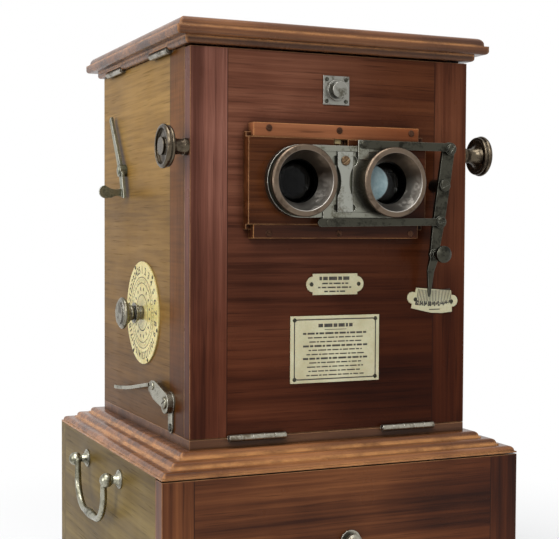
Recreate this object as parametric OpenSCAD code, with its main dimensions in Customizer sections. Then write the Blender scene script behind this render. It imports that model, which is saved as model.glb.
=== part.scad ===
// Cabinet stereoscope for glass stereo slides, on a storage base.
// X runs to the right seen from the front, the front faces -Y, Z is up.
// The origin is the middle of the underside of the base.

/* [Cabinet] */
// Width of the viewer cabinet
cabinet_w = 200; // [190:1:230]
// Depth of the viewer cabinet, front door included
cabinet_d = 191.2; // [188:0.2:220]
// Height of the viewer cabinet under its lid
cabinet_h = 252; // [248:1:280]
// Thickness of the cabinet walls
wall_t = 10; // [8:0.5:12]
// Thickness of the cabinet floor board
cabinet_floor_t = 6; // [5:0.5:8]
// How far the cabinet stands back from the middle of the base
cabinet_y = -1.6; // [-4:0.2:4]
// Height of the wooden rail across the top of the door opening
front_rail_h = 14; // [10:1:20]

/* [Lid] */
// How far the lid stands out beyond the sides
lid_overhang = 11.5; // [9:0.5:14]
// How far the lid stands out beyond the front and back
lid_overhang_y = 9.7; // [8:0.1:12]
// Height of the bed moulding under the lid
lid_bed_h = 4.4; // [3:0.2:6]
// Height of the widest board of the lid
lid_edge_h = 5.4; // [4:0.2:8]
// Height of the top board of the lid
lid_top_h = 5.9; // [5:0.1:9]
// Radius of the rounded edge of the top board
lid_round = 4.6; // [3:0.2:4.8]

/* [Base] */
// Width of the storage base
base_w = 253.2; // [248:0.2:280]
// Depth of the storage base
base_d = 245.2; // [242:0.2:270]
// Height of the storage base, moulded top included
base_h = 178; // [160:1:210]
// Thickness of the boards of the base
board_t = 12; // [10:0.5:14]
// Thickness of the bottom board of the base
base_floor_t = 8; // [6:0.5:12]
// Height of the moulded top board of the base
plinth_h = 12.6; // [10:0.2:16]
// How far each moulding step goes back
plinth_step = 8.6; // [6:0.2:9]
// Thickness of the shelves in the base
shelf_t = 4; // [3:0.5:6]
// How deep the shelves sit in the sides
shelf_groove = 3; // [2:0.5:5]
// Number of shelves in the base
shelf_count = 2; // [1:1:2]

/* [Front door] */
// Thickness of the front door and of the flap of the base
door_t = 10; // [9:0.5:12]
// Gap between a door and the wood behind it
door_gap = 0.3; // [0.2:0.1:0.6]
// Gap above the front door, for its swing
door_top_gap = 0.9; // [0.7:0.1:2]

/* [Hinges] */
// Radius of the hinge knuckles
knuckle_r = 2.2; // [1.8:0.1:2.6]
// Radius of the hinge pins
hinge_pin_r = 0.9; // [0.7:0.1:1.2]
// Length of the hinges of the front door
door_hinge_len = 39.2; // [30:0.2:45]
// Distance of the front door hinges from the middle
door_hinge_x = 54.9; // [40:0.1:65]
// Length of the hinges of the lid
lid_hinge_len = 36; // [28:1:40]
// Thickness of the hinge leaves
leaf_t = 0.9; // [0.7:0.1:1.2]
// How far the hinge leaves reach into the joint
leaf_reach = 8; // [6:0.5:9]

/* [Optics] */
// How far the lens axes stand above two thirds of the cabinet height
eye_rise = 0.5; // [-1:0.1:2]
// Sideways place of the middle between the eyes
eye_mid_x = 1; // [-1:0.1:2]
// Distance between the two lens axes as set
eye_spacing = 64.5; // [63:0.1:68]
// How far each lens can move inwards from there
eye_travel_in = 5.6; // [3:0.1:5.7]
// How far each lens can move outwards from there
eye_travel_out = 1.4; // [0.5:0.1:1.5]
// Outer radius of the lens tubes
tube_r = 15; // [14:0.1:15.2]
// Wall of the lens tubes
tube_wall = 1.4; // [1:0.1:2]
// Outer radius of the eyecups
eyecup_r = 22.8; // [21:0.1:24]
// Height of the eyecups in front of the lens plates
eyecup_h = 10.5; // [7:0.1:11]
// Thickness of the lens board
lens_board_t = 8.7; // [7:0.1:10]
// Width of the lens board
lens_board_w = 127.5; // [125:0.5:132]
// Sideways place of the middle of the lens board
lens_board_x = -0.75; // [-3:0.25:1]
// Height of the lens board between its two rails
lens_board_h = 55; // [52:0.5:58]
// Height of the rails above and below the lens board
rail_h = 8.8; // [7:0.2:10]
// Length of those rails
rail_len = 118.6; // [112:0.2:122]
// Radius of the rounded ends of the lens frame
frame_r = 23; // [22.5:0.1:24]
// Distance of the centres of those rounded ends from the middle
frame_end_x = 31.5; // [31:0.1:33]
// Thickness of the plate of the lens frame
frame_plate_t = 1.6; // [1.2:0.1:2]
// Thickness of the sliding lens plates
lens_plate_t = 1.6; // [1.2:0.1:1.8]

/* [Focusing] */
// Height of the focusing shaft above the lens axes
focus_rise = 20.5; // [20:0.1:21.5]
// Depth of the focusing shaft behind the front of the door
focus_depth = 5.6; // [5:0.1:6]
// Radius of the focusing shaft
focus_shaft_r = 2.4; // [2:0.1:2.4]
// Teeth on the focusing pinion
focus_teeth = 12; // [10:1:13]
// Gear module of the focusing rack and pinion
focus_module = 0.8; // [0.7:0.05:0.8]
// Radius of the focusing knobs
focus_knob_r = 13.8; // [12:0.1:16]
// How far the focusing knobs stand out from the sides
focus_knob_out = 18; // [14:0.5:22]

/* [Spacing lever] */
// Sideways place of the pivot of the spacing lever
lever_x = 75; // [73:0.5:78]
// Height of that pivot below the lens axes
lever_drop = 1; // [-1:0.5:2]
// Tilt of the spacing lever as set, in degrees
lever_tilt = 8.5; // [6:0.5:10]
// Distance from the pivot to each link pin
lever_pin_d = 24.5; // [23:0.5:26]
// Radius of the link pins
link_pin_r = 1.5; // [1.2:0.1:1.6]
// Distance from the pivot down to the knob
lever_knob_d = 46; // [42:1:52]
// Distance from the pivot down to the tip of the pointer
lever_tip_d = 74.5; // [70:0.5:78]
// Height of the link strips
link_h = 5.4; // [5:0.5:7]

/* [Slides] */
// Width of a glass slide
slide_w = 107; // [100:1:110]
// Height of a glass slide
slide_h = 45; // [40:1:46]
// Thickness of a glass slide
slide_t = 1.5; // [1.2:0.1:1.8]
// Distance from slide to slide, and tooth to tooth of the rack
slide_pitch = 3.1; // [2.9:0.05:3.2]
// Number of slides in a magazine
slide_count = 25; // [21:2:25]
// Height of the bottom of the stored slides above the cabinet floor
slide_z = 82; // [80:1:84]
// Height of the magazine walls
magazine_h = 39; // [34:1:42]

/* [Magazine drive] */
// Height of the dial axis above the cabinet floor
dial_z = 80; // [78:1:82]
// Depth place of the dial axis and of the slide gate
dial_y = -2; // [-4:0.5:4]
// Radius of the ivory dial
dial_r = 35.5; // [33:0.5:38]
// Radius of the shafts through the cabinet walls
shaft_r = 3; // [2.5:0.1:3.4]
// Radial running clearance of shafts in their bores
running_gap = 0.05; // [0.03:0.01:0.09]
// Clearance between sliding pieces
slide_gap = 0.3; // [0.2:0.05:0.5]

/* [Slide lift] */
// Radius of the lift shaft
lift_shaft_r = 5; // [4:0.5:6]
// Length of the lift arm from shaft to pin
lift_arm = 60; // [58:1:62]
// Length of the lift lever on the right side
lift_lever_len = 105; // [95:1:112]
// Thickness of the lifting blade
blade_t = 1.4; // [1:0.1:1.5]
// Width of the lifting blade
blade_w = 48; // [40:1:60]

/* [Handles] */
// Distance between the two posts of a handle
handle_w = 80.4; // [72:0.2:100]
// Depth place of the middle of the handles
handle_y = 4.8; // [0:0.2:12]
// Height of the handle pivots under the top of the base
handle_drop = 28; // [24:0.5:34]
// Radius of the handle bar
bail_r = 2.3; // [2:0.1:2.8]
// How far the handle pivots stand out from the sides
handle_out = 9; // [9:0.5:12]

/* [Hidden] */
$fn = 48;

face_y = -cabinet_d / 2;
side_x = cabinet_w / 2;
inner_x = side_x - wall_t;
wall_front_y = face_y + door_t + door_gap;
eye_z = cabinet_h * 2 / 3 + eye_rise;
focus_z = eye_z + focus_rise;
lever_z = eye_z - lever_drop;
back_y = cabinet_d / 2;
door_foot_z = cabinet_floor_t + door_gap;
lid_foot_z = cabinet_h + door_gap;
lid_h = lid_bed_h + lid_edge_h + lid_top_h;
hinge_out = knuckle_r + 0.3;
lid_hinge_y = [58, -45];
flap_hinge_x = 75;
flap_foot_z = base_floor_t + door_gap;
flap_top_z = base_h - plinth_h - door_top_gap;
base_front_y = -base_d / 2;
tier_h = (base_h - plinth_h - base_floor_t - shelf_count * shelf_t) / (shelf_count + 1);

// Gear proportions shared by both racks and pinions
pressure_angle = 25;
addendum = 0.7;
dedendum = 0.95;
backlash = 0.14;

// Optics, as distances in front of the door
board_back = door_gap;
board_front = board_back + lens_board_t;
plate_front = board_front + frame_plate_t + slide_gap / 2 + lens_plate_t;
lip_back = plate_front + slide_gap;
lip_front = lip_back + 0.8;
link_back = lip_front + 0.9;
link_t = 1;
tube_back = -12;
opening_r = tube_r + 1.5;
frame_wall = 2;
lip_h = 3.5;
ear_w = 7.5;
ear_x = 12.5;
strap_w = 11;
notch_r = 3.3;
lip_r = 1.8;
strap_screw_z = 13.5;
strap_pin_z = -16.5;
focus_travel = 5;
focus_y = face_y + focus_depth;
focus_pitch_r = focus_teeth * focus_module / 2;
rack_w = 5;

// Magazine, carriage and their drive
drive_module = slide_pitch / PI;
drive_r = slide_count * slide_pitch / (2 * PI);
slot_len = slide_count * slide_pitch;
magazine_wall = 2;
magazine_end = 2.5;
magazine_half_w = slide_w / 2 + 1 + magazine_wall;
magazine_half_l = slot_len / 2 + magazine_end;
magazine_foot_z = slide_z - 9;
rib_t = slide_pitch - slide_t - 0.5;
ledge_in = 5.5;
cheek_t = 4;
cheek_in = magazine_half_w + 0.5;
carriage_foot_z = magazine_foot_z - 7;
runner_in = cheek_in + cheek_t - 1;
runner_out = runner_in + 10;
tongue_in = runner_in + 3;
tongue_w = 3;
tongue_h = 2.7;
pinion_x = -80;
pinion_w = 6;

// Slide lift
view_z = eye_z - slide_h / 2;
lift_travel = view_z - slide_z;
lift_z = cabinet_floor_t + 7 + lift_travel / 2;
lift_half = asin(lift_travel / 2 / lift_arm);
lift_shift = lift_arm * (1 - cos(lift_half)) / 2;
lift_y = dial_y + lift_arm - lift_shift;
lift_pin_r = 2;
lift_arm_w = 7;
arm_gate = 36;
arm_gate_top = slide_z + 2;
lever_rest_angle = 15;
gate_foot_z = slide_z + slide_h + 4;
gate_t = 8;

pin_dx = lever_pin_d * sin(lever_tilt);
pin_dz = lever_pin_d * cos(lever_tilt);

// Handles
handle_z = base_h - handle_drop;
ball_r = 4.7;
bail_pin_r = 1.3;
bail_top_r = 1.9;

// A board between two corners, each given as low and high along one axis
module board(x, y, z)
    translate([x[0], y[0], z[0]])
        cube([x[1] - x[0], y[1] - y[0], z[1] - z[0]]);

// Round bar along X between two places
module bar_x(r, x, y, z)
    translate([x[0], y, z])
        rotate([0, 90, 0])
            cylinder(r = r, h = x[1] - x[0]);

// Round bar along Y between two places
module bar_y(r, x, y, z)
    translate([x, y[0], z])
        rotate([-90, 0, 0])
            cylinder(r = r, h = y[1] - y[0]);

// An outline drawn in X and Z, as thick as given, standing in front of the door
module on_front(out, t)
    translate([0, face_y - out, 0])
        rotate([90, 0, 0])
            linear_extrude(t)
                children();

// An outline drawn in Y and Z, thickened along X from the given place
module across_x(x, t)
    translate([x, 0, 0])
        rotate([90, 0, 90])
            linear_extrude(t)
                children();

// The cabinet stands on the base
module upper()
    translate([0, cabinet_y, base_h])
        children();

// A board whose four top edges are rounded, mitred at the corners
module rounded_profile(w, h, r) {
    translate([-w / 2, 0])
        square([w, h - r]);
    translate([r - w / 2, 0])
        square([w - 2 * r, h]);
    intersection() {
        for (side = [-1, 1])
            translate([side * (w / 2 - r), h - r])
                circle(r);
        translate([-w / 2, 0])
            square([w, h]);
    }
}

module moulded_board(w, d, h, r)
    intersection() {
        translate([0, d / 2, 0])
            rotate([90, 0, 0])
                linear_extrude(d)
                    rounded_profile(w, h, r);
        translate([-w / 2, 0, 0])
            rotate([90, 0, 90])
                linear_extrude(w)
                    rounded_profile(d, h, r);
    }

// Flat hinge along X, its leaves reaching towards +Y from the axis at the origin.
// The lower leaf holds every other knuckle and the pin, the upper one the rest.
knuckles = 5;
module hinge_leaf(len, upper_leaf) {
    pitch = len / knuckles;
    gap = 0.25;
    half_gap = door_gap / 2;
    level = upper_leaf ? half_gap : -half_gap - leaf_t;
    start = upper_leaf ? 1 : 0;
    difference() {
        union() {
            board([-len / 2, len / 2], [hinge_out, hinge_out + leaf_reach], [level, level + leaf_t]);
            for (i = [start:2:knuckles - 1]) {
                x = -len / 2 + i * pitch;
                bar_x(knuckle_r, [x + gap / 2, x + pitch - gap / 2], 0, 0);
                board([x + gap / 2, x + pitch - gap / 2], [0, hinge_out], [level, level + leaf_t]);
            }
        }
        if (upper_leaf)
            bar_x(hinge_pin_r + running_gap, [-len, len], 0, 0);
    }
    if (!upper_leaf)
        bar_x(hinge_pin_r, [-len / 2, len / 2], 0, 0);
}

// The shallow recess that a hinge leaf lies in
module leaf_recess(len, upper_leaf) {
    level = upper_leaf ? door_gap / 2 : -door_gap / 2 - leaf_t;
    board([-len / 2, len / 2], [0, hinge_out + leaf_reach], [level, level + leaf_t]);
}

module at_door_hinges()
    for (side = [-1, 1])
        translate([side * door_hinge_x, face_y - hinge_out, cabinet_floor_t + door_gap / 2])
            children();

module at_lid_hinges()
    for (y = lid_hinge_y)
        translate([-side_x - hinge_out, y, cabinet_h + door_gap / 2])
            rotate([0, 0, -90])
                children();

module at_flap_hinges()
    for (side = [-1, 1])
        translate([side * flap_hinge_x, base_front_y - hinge_out, base_floor_t + door_gap / 2])
            children();

// A gear tooth flank point: radius from the base circle by the involute's roll angle
function involute(rb, roll) =
    let (a = roll * 180 / PI)
    [rb * (cos(a) + roll * sin(a)), rb * (sin(a) - roll * cos(a))];

// Spur gear outline whose first gap points towards +Y
module gear_outline(teeth, m) {
    r = teeth * m / 2;
    rb = r * cos(pressure_angle);
    tip = r + addendum * m;
    root = r - dedendum * m;
    roll_tip = sqrt(pow(tip / rb, 2) - 1);
    roll_root = root > rb ? sqrt(pow(root / rb, 2) - 1) : 0;
    half = 90 / teeth - backlash / r * 180 / PI / 2;
    lag = tan(pressure_angle) * 180 / PI - pressure_angle;
    steps = 4;
    flank = [for (i = [0:steps])
        let (roll = roll_root + (roll_tip - roll_root) * i / steps, p = involute(rb, roll))
        [norm(p), atan2(p[1], p[0]) - lag]];
    right = [for (f = flank) [f[0] * cos(f[1] - half), f[0] * sin(f[1] - half)]];
    left = [for (i = [steps:-1:0]) [right[i][0], -right[i][1]]];
    foot = root - 0.4 * m;
    low = [[foot * cos(half), -foot * sin(half)]];
    high = [[foot * cos(half), foot * sin(half)]];
    circle(root);
    for (i = [0:teeth - 1])
        rotate(90 + (i + 0.5) * 360 / teeth)
            polygon(concat(low, right, left, high));
}

// Rack outline with a tooth pointing down at the origin, its pitch line on the X axis
module rack_outline(teeth, m, back) {
    pitch = PI * m;
    tip = pitch / 4 - addendum * m * tan(pressure_angle) - backlash / 4;
    foot = pitch / 4 + dedendum * m * tan(pressure_angle) - backlash / 4;
    count = floor(teeth / 2);
    for (i = [-count:count])
        translate([i * pitch, 0])
            polygon([[-foot, dedendum * m], [-tip, -addendum * m], [tip, -addendum * m],
                [foot, dedendum * m]]);
    translate([-(count + 0.5) * pitch, dedendum * m])
        square([(2 * count + 1) * pitch, back]);
}

// Base

module base_floor() color("saddlebrown") {
    difference() {
        board([-base_w / 2, base_w / 2], [base_front_y, base_d / 2], [0, base_floor_t]);
        at_flap_hinges()
            leaf_recess(door_hinge_len, false);
    }
}

function shelf_z(i) = base_floor_t + i * tier_h + (i - 1) * shelf_t;

module base_walls() color("saddlebrown") {
    top = base_h - plinth_h;
    front = base_front_y + board_t + door_gap;
    back = base_d / 2 - board_t;
    for (side = [-1, 1])
        difference() {
            board([min(side * base_w / 2, side * (base_w / 2 - board_t)),
                max(side * base_w / 2, side * (base_w / 2 - board_t))],
                [front, base_d / 2], [base_floor_t, top]);
            for (i = [1:shelf_count])
                board([-base_w / 2 + board_t - shelf_groove, base_w / 2 - board_t + shelf_groove],
                    [front, back], [shelf_z(i), shelf_z(i) + shelf_t]);
            for (y = [-1, 1])
                bar_x(2, [-base_w / 2 - 1, base_w / 2 + 1], handle_y + y * handle_w / 2, handle_z);
        }
    board([board_t - base_w / 2, base_w / 2 - board_t], [back, base_d / 2], [base_floor_t, top]);
}

module base_shelves() color("peru") {
    reach = base_w / 2 - board_t + shelf_groove;
    for (i = [1:shelf_count])
        board([-reach, reach], [base_front_y + board_t + 2, base_d / 2 - board_t],
            [shelf_z(i), shelf_z(i) + shelf_t]);
}

module plinth_top() color("sienna") {
    step_h = plinth_h / 3;
    fillet_h = 1;
    inset = 1.2;
    for (i = [0:2])
        translate([0, 0, base_h - plinth_h + i * step_h]) {
            w = base_w - 2 * i * plinth_step;
            d = base_d - 2 * i * plinth_step;
            translate([-w / 2, -d / 2, 0])
                cube([w, d, fillet_h]);
            moulded_board(w - 2 * inset, d - 2 * inset, step_h, 2.8);
        }
}

// Turned rosette, flared neck and a ball that is bored for the end of the handle
module handle_posts() color("lightslategray")
    for (side = [-1, 1], end = [-1, 1])
        translate([side * base_w / 2, handle_y + end * handle_w / 2, handle_z])
            rotate([0, side * 90, 0]) {
                difference() {
                    union() {
                        rotate_extrude() {
                            square([6.2, 0.9]);
                            square([5, 1.6]);
                            polygon([[0, 1], [4.4, 1.6], [2.9, 3.4], [2.2, handle_out - 3], [0, handle_out - 3]]);
                        }
                        translate([0, 0, handle_out])
                            sphere(ball_r);
                    }
                    translate([0, -end * ball_r * 2, handle_out])
                        rotate([-end * 90, 0, 0])
                            cylinder(r = bail_pin_r + running_gap, h = ball_r * 2 + 1);
                }
                translate([0, 0, 0.5 - board_t])
                    cylinder(r = 2, h = board_t);
            }

// A grooved box that holds the slides on edge, open at the top and along the middle below
module magazine_shape() {
    half_l = magazine_half_l;
    for (side = [-1, 1])
        mirror([side < 0 ? 1 : 0, 0, 0]) {
            board([magazine_half_w - magazine_wall, magazine_half_w], [-half_l, half_l], [0, magazine_h]);
            board([slide_w / 2 - ledge_in, magazine_half_w], [-half_l, half_l], [0, 9]);
            for (i = [0:slide_count])
                translate([0, (i - slide_count / 2) * slide_pitch - rib_t / 2, 0])
                    board([slide_w / 2 - 2, magazine_half_w - magazine_wall / 2], [0, rib_t],
                        [8, magazine_h]);
        }
    for (end = [-1, 1])
        translate([0, end * (half_l - magazine_end / 2), 0])
            difference() {
                board([-magazine_half_w, magazine_half_w], [-magazine_end / 2, magazine_end / 2],
                    [0, magazine_h]);
                translate([0, magazine_end, magazine_h + 6])
                    rotate([90, 0, 0])
                        cylinder(r = 16, h = 2 * magazine_end);
                board([-arm_gate / 2, arm_gate / 2], [-magazine_end, magazine_end],
                    [-1, arm_gate_top - magazine_foot_z]);
            }
}

// As many spare magazines as the base is wide for, side by side on its floor
module spare_magazines() color("darkgoldenrod") {
    inner_w = base_w - 2 * board_t;
    count = floor((inner_w - 1) / (2 * magazine_half_w + 1));
    share = inner_w / count;
    for (i = [0:count - 1])
        translate([(i - (count - 1) / 2) * share, base_front_y + board_t + 6 + magazine_half_l,
            base_floor_t])
            magazine_shape();
}

module base_flap() color("saddlebrown")
    difference() {
        board([-base_w / 2, base_w / 2], [base_front_y, base_front_y + board_t],
            [flap_foot_z, flap_top_z]);
        at_flap_hinges()
            leaf_recess(door_hinge_len, true);
    }

module flap_fittings() color("darkkhaki") {
    at_flap_hinges()
        hinge_leaf(door_hinge_len, true);
    translate([0, base_front_y, base_h * 0.66])
        rotate([90, 0, 0])
            rotate_extrude() {
                square([7, 0.8]);
                square([2.6, 4]);
                translate([0, 4])
                    square([5.4, 2.2]);
                intersection() {
                    translate([0, 1.4])
                        circle(7.2);
                    translate([0, 6])
                        square([5.4, 4]);
                }
            }
}

// Cabinet

module cabinet_floor() color("saddlebrown")
    upper()
        difference() {
            board([-side_x, side_x], [face_y, back_y], [0, cabinet_floor_t]);
            at_door_hinges()
                leaf_recess(door_hinge_len, false);
        }

title_y = 40;
title_z = eye_z + 11.5;
release_y = -62;
release_z = 25.5;
release_r = 2.5;

module left_wall() color("tan")
    upper()
        difference() {
            board([-side_x, -inner_x], [wall_front_y, back_y], [cabinet_floor_t, cabinet_h]);
            bar_x(shaft_r + running_gap, [-side_x - 1, 1 - inner_x], dial_y, dial_z);
            bar_x(shaft_r + running_gap, [-side_x - 1, 1 - inner_x], title_y, title_z);
            bar_x(release_r + running_gap, [-side_x - 1, 1 - inner_x], release_y, release_z);
            at_lid_hinges()
                leaf_recess(lid_hinge_len, false);
        }

module right_wall() color("tan")
    upper()
        difference() {
            board([inner_x, side_x], [wall_front_y, back_y], [cabinet_floor_t, cabinet_h]);
            bar_x(lift_shaft_r + running_gap, [inner_x - 1, side_x + 1], lift_y, lift_z);
        }

window_w = 116;
window_h = 62;
rebate = 5;

module back_wall() color("saddlebrown")
    upper()
        difference() {
            board([-inner_x, inner_x], [back_y - wall_t, back_y], [cabinet_floor_t, cabinet_h]);
            board([-window_w / 2, window_w / 2], [back_y - wall_t - 1, back_y + 1],
                [eye_z - window_h / 2, eye_z + window_h / 2]);
            board([-window_w / 2 - rebate, window_w / 2 + rebate], [back_y - 6, back_y + 1],
                [eye_z - window_h / 2 - rebate, eye_z + window_h / 2 + rebate]);
        }

module ground_glass() color("lightcyan", 0.6)
    upper()
        board([0.2 - window_w / 2 - rebate, window_w / 2 + rebate - 0.2], [back_y - 6, back_y - 4],
            [eye_z - window_h / 2 - rebate + 0.2, eye_z + window_h / 2 + rebate - 0.2]);

module glass_bead() color("peru")
    upper()
        difference() {
            board([-window_w / 2 - rebate, window_w / 2 + rebate], [back_y - 4, back_y],
                [eye_z - window_h / 2 - rebate, eye_z + window_h / 2 + rebate]);
            board([-window_w / 2, window_w / 2], [back_y - 5, back_y + 1],
                [eye_z - window_h / 2, eye_z + window_h / 2]);
        }

module front_rail() color("saddlebrown")
    upper()
        board([-inner_x, inner_x], [wall_front_y, wall_front_y + 10],
            [cabinet_h - front_rail_h, cabinet_h]);

// Two upright boards on the floor whose grooves guide the carriage
module runners() color("peru")
    upper()
        for (side = [-1, 1])
            mirror([side < 0 ? 1 : 0, 0, 0])
                difference() {
                    board([runner_in, runner_out], [wall_front_y + 1, back_y - wall_t],
                        [cabinet_floor_t, carriage_foot_z - slide_gap]);
                    board([tongue_in - 0.2, tongue_in + tongue_w + 0.2], [wall_front_y, back_y],
                        [carriage_foot_z - tongue_h - slide_gap, carriage_foot_z]);
                    if (side > 0)
                        bar_x(lift_shaft_r + running_gap, [runner_in - 1, runner_out + 1], lift_y, lift_z);
                }

// Board across the cabinet that holds the slide in view behind the two lenses
module slide_gate() color("saddlebrown")
    upper() {
        top = eye_z + slide_h / 2 + 8;
        pocket_w = slide_w / 2 + slide_gap;
        difference() {
            union() {
                board([-inner_x, inner_x], [dial_y - gate_t / 2, dial_y + gate_t / 2],
                    [gate_foot_z, gate_foot_z + 26]);
                board([-slide_w / 2 - 8, slide_w / 2 + 8], [dial_y - gate_t / 2, dial_y + gate_t / 2],
                    [gate_foot_z, top]);
            }
            board([-pocket_w, pocket_w], [dial_y - slide_t / 2 - slide_gap, dial_y + slide_t / 2 + slide_gap],
                [gate_foot_z - 1, eye_z + slide_h / 2 + slide_gap]);
            for (side = [-1, 1])
                board([side > 0 ? 4 : -slide_w / 2 + 4, side > 0 ? slide_w / 2 - 4 : -4],
                    [dial_y - gate_t, dial_y + gate_t], [view_z + 3, view_z + slide_h - 3]);
        }
    }

module viewed_slide() color("lightblue", 0.5)
    upper()
        board([-slide_w / 2, slide_w / 2], [dial_y - slide_t / 2, dial_y + slide_t / 2],
            [view_z, view_z + slide_h]);

// Grooved posts that keep the lifting blade upright
module lift_guide() color("darkkhaki")
    upper()
        for (side = [-1, 1])
            mirror([side < 0 ? 1 : 0, 0, 0])
                difference() {
                    board([blade_w / 2 - 2, blade_w / 2 + 5], [dial_y - 4, dial_y + 4],
                        [cabinet_floor_t, carriage_foot_z - 4]);
                    board([blade_w / 2 - 3, blade_w / 2 + slide_gap],
                        [dial_y - blade_t / 2 - 0.25, dial_y + blade_t / 2 + 0.25],
                        [cabinet_floor_t + 2, carriage_foot_z]);
                }

module dial_plate() color("ivory")
    upper()
        translate([-side_x, dial_y, dial_z])
            rotate([0, -90, 0])
                difference() {
                    cylinder(r = dial_r, h = 1);
                    translate([0, 0, -1])
                        cylinder(r = shaft_r + 0.4, h = 3);
                }

module fixed_hinges() color("silver") {
    upper() {
        at_door_hinges()
            hinge_leaf(door_hinge_len, false);
        at_lid_hinges()
            hinge_leaf(lid_hinge_len, false);
    }
    at_flap_hinges()
        hinge_leaf(door_hinge_len, false);
}

// Lid

module lid() color("sienna")
    upper()
        difference() {
            union() {
                bed = [cabinet_w + 8, cabinet_d + 7];
                edge = [cabinet_w + 2 * lid_overhang, cabinet_d + 2 * lid_overhang_y];
                inset = 2.4;
                translate([0, 0, lid_foot_z])
                    mirror([0, 0, 1])
                        translate([0, 0, -lid_bed_h])
                            moulded_board(bed[0], bed[1], lid_bed_h, 2);
                translate([0, 0, lid_foot_z + lid_bed_h + lid_edge_h])
                    mirror([0, 0, 1])
                        moulded_board(edge[0], edge[1], lid_edge_h, 2.2);
                translate([0, 0, lid_foot_z + lid_bed_h + lid_edge_h])
                    moulded_board(edge[0] - 2 * inset, edge[1] - 2 * inset, lid_top_h, lid_round);
            }
            at_lid_hinges() {
                leaf_recess(lid_hinge_len, true);
                bar_x(knuckle_r + 0.4, [-lid_hinge_len / 2 - 0.5, lid_hinge_len / 2 + 0.5], 0, 0);
            }
        }

module lid_hinge_leaves() color("silver")
    upper()
        at_lid_hinges()
            hinge_leaf(lid_hinge_len, true);

// Front door

// Slot for a lens tube, as long as the lens travels
module tube_slot(side, r) {
    inner = eye_spacing / 2 - eye_travel_in;
    outer = eye_spacing / 2 + eye_travel_out;
    translate([eye_mid_x, eye_z]) {
        for (x = [inner, outer])
            translate([side * x, 0])
                circle(r);
        translate([side > 0 ? inner : -outer, -r])
            square([outer - inner, 2 * r]);
    }
}

guide_stud_x = 48.5;
guide_stud_z = 11.5;
guide_stud_r = 1.5;

module at_studs()
    for (x = [-1, 1], z = [-1, 1])
        translate([eye_mid_x + x * guide_stud_x, eye_z + z * guide_stud_z])
            children();

latch_x = 0.5;
latch_z = (eye_z + lens_board_h / 2 + rail_h + cabinet_h - door_top_gap) / 2 + 0.1;
latch_stem_r = 4.4;

module door_panel() color("brown")
    upper()
        difference() {
            board([-side_x, side_x], [face_y, face_y + door_t],
                [door_foot_z, cabinet_h - door_top_gap]);
            translate([0, 2 * door_t, 0])
                on_front(0, 3 * door_t) {
                    tube_slot(-1, opening_r);
                    tube_slot(1, opening_r);
                    at_studs()
                        circle(guide_stud_r + running_gap);
                    translate([latch_x, latch_z])
                        circle(latch_stem_r + running_gap);
                }
            board([-4, 4], [face_y - 1, face_y + door_t + 1], [focus_z - 6.5, focus_z + 10.5]);
            bar_x(focus_shaft_r + running_gap, [-side_x - 1, side_x + 1], focus_y, focus_z);
            at_door_hinges()
                leaf_recess(door_hinge_len, true);
        }

module door_hinge_leaves() color("silver")
    upper()
        at_door_hinges()
            hinge_leaf(door_hinge_len, true);

latch_plate_w = 18.6;
latch_plate_t = 0.9;
latch_overlap = 3;
hook_y = face_y + door_t + 6;
hook_z = latch_z - 6.4;
hook_arm_t = 3.2;

// Square face plate of the latch, and the bearing of its hook on the back of the door
module latch_plate() color("gray")
    upper() {
        on_front(0, latch_plate_t)
            translate([latch_x, latch_z])
                difference() {
                    square(latch_plate_w, center = true);
                    circle(latch_stem_r + running_gap);
                }
        on_front(latch_plate_t, 1.6)
            translate([latch_x, latch_z])
                difference() {
                    circle(6.6);
                    circle(latch_stem_r + running_gap);
                }
        for (side = [-1, 1])
            difference() {
                translate([latch_x + side * 5 - 1, 0, 0])
                    across_x(0, 2) {
                        translate([face_y + door_t, hook_z - 6])
                            square([6, 12]);
                        translate([hook_y, hook_z])
                            circle(4);
                    }
                bar_x(1.2 + running_gap, [latch_x - 9, latch_x + 9], hook_y, hook_z);
            }
    }

module latch_button() color("silver")
    upper()
        translate([latch_x, face_y, latch_z])
            rotate([90, 0, 0]) {
                rotate_extrude() {
                    translate([0, face_y - hook_y + hook_arm_t / 2 + 0.55])
                        square([0.8, 6]);
                    translate([0, -door_t])
                        square([3, door_t]);
                    translate([0, 3.4 - door_t])
                        square([latch_stem_r, door_t + 3]);
                    translate([0, 5.6])
                        square([5.2, 1.2]);
                    intersection() {
                        translate([0, -13.6])
                            circle(21);
                        translate([0, 6.8])
                            square([5.2, 3]);
                    }
                }
            }

// Bell crank that the button tips: its nose stands under the rail above the door
module latch_hook() color("gray")
    upper() {
        nose_z = cabinet_h - front_rail_h + latch_overlap;
        across_x(latch_x - 3.7, 7.4) {
            translate([hook_y - hook_arm_t / 2, hook_z])
                square([hook_arm_t, 15]);
            translate([hook_y, hook_z])
                circle(3.2);
            translate([hook_y - hook_arm_t / 2, hook_z + 11])
                square([9, 4]);
            translate([hook_y + 5, hook_z + 11])
                square([2.4, nose_z - hook_z - 11]);
        }
        bar_x(1.2, [latch_x - 6, latch_x + 6], hook_y, hook_z);
    }

// Shoulder screw on the face of the door that the spacing lever turns on
module lever_pivot() color("dimgray")
    upper()
        translate([lever_x, face_y, lever_z])
            rotate([90, 0, 0]) {
                cylinder(r = 4.2, h = lever_back - 0.1);
                cylinder(r = 2.5, h = lever_back + lever_t + 0.2);
                translate([0, 0, lever_back + lever_t + 0.2])
                    cylinder(r = 3.9, h = 1.5);
            }

scale_x = 74.5;
scale_z = lever_z - 76.9;
name_plate = [32.4, 13.8];
name_z = eye_z - 66.1;
note_plate = [64.6, 43.6];
note_z = eye_z - 108.3;
plate_ear_r = 5.2;
plate_t = 0.9;

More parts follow.
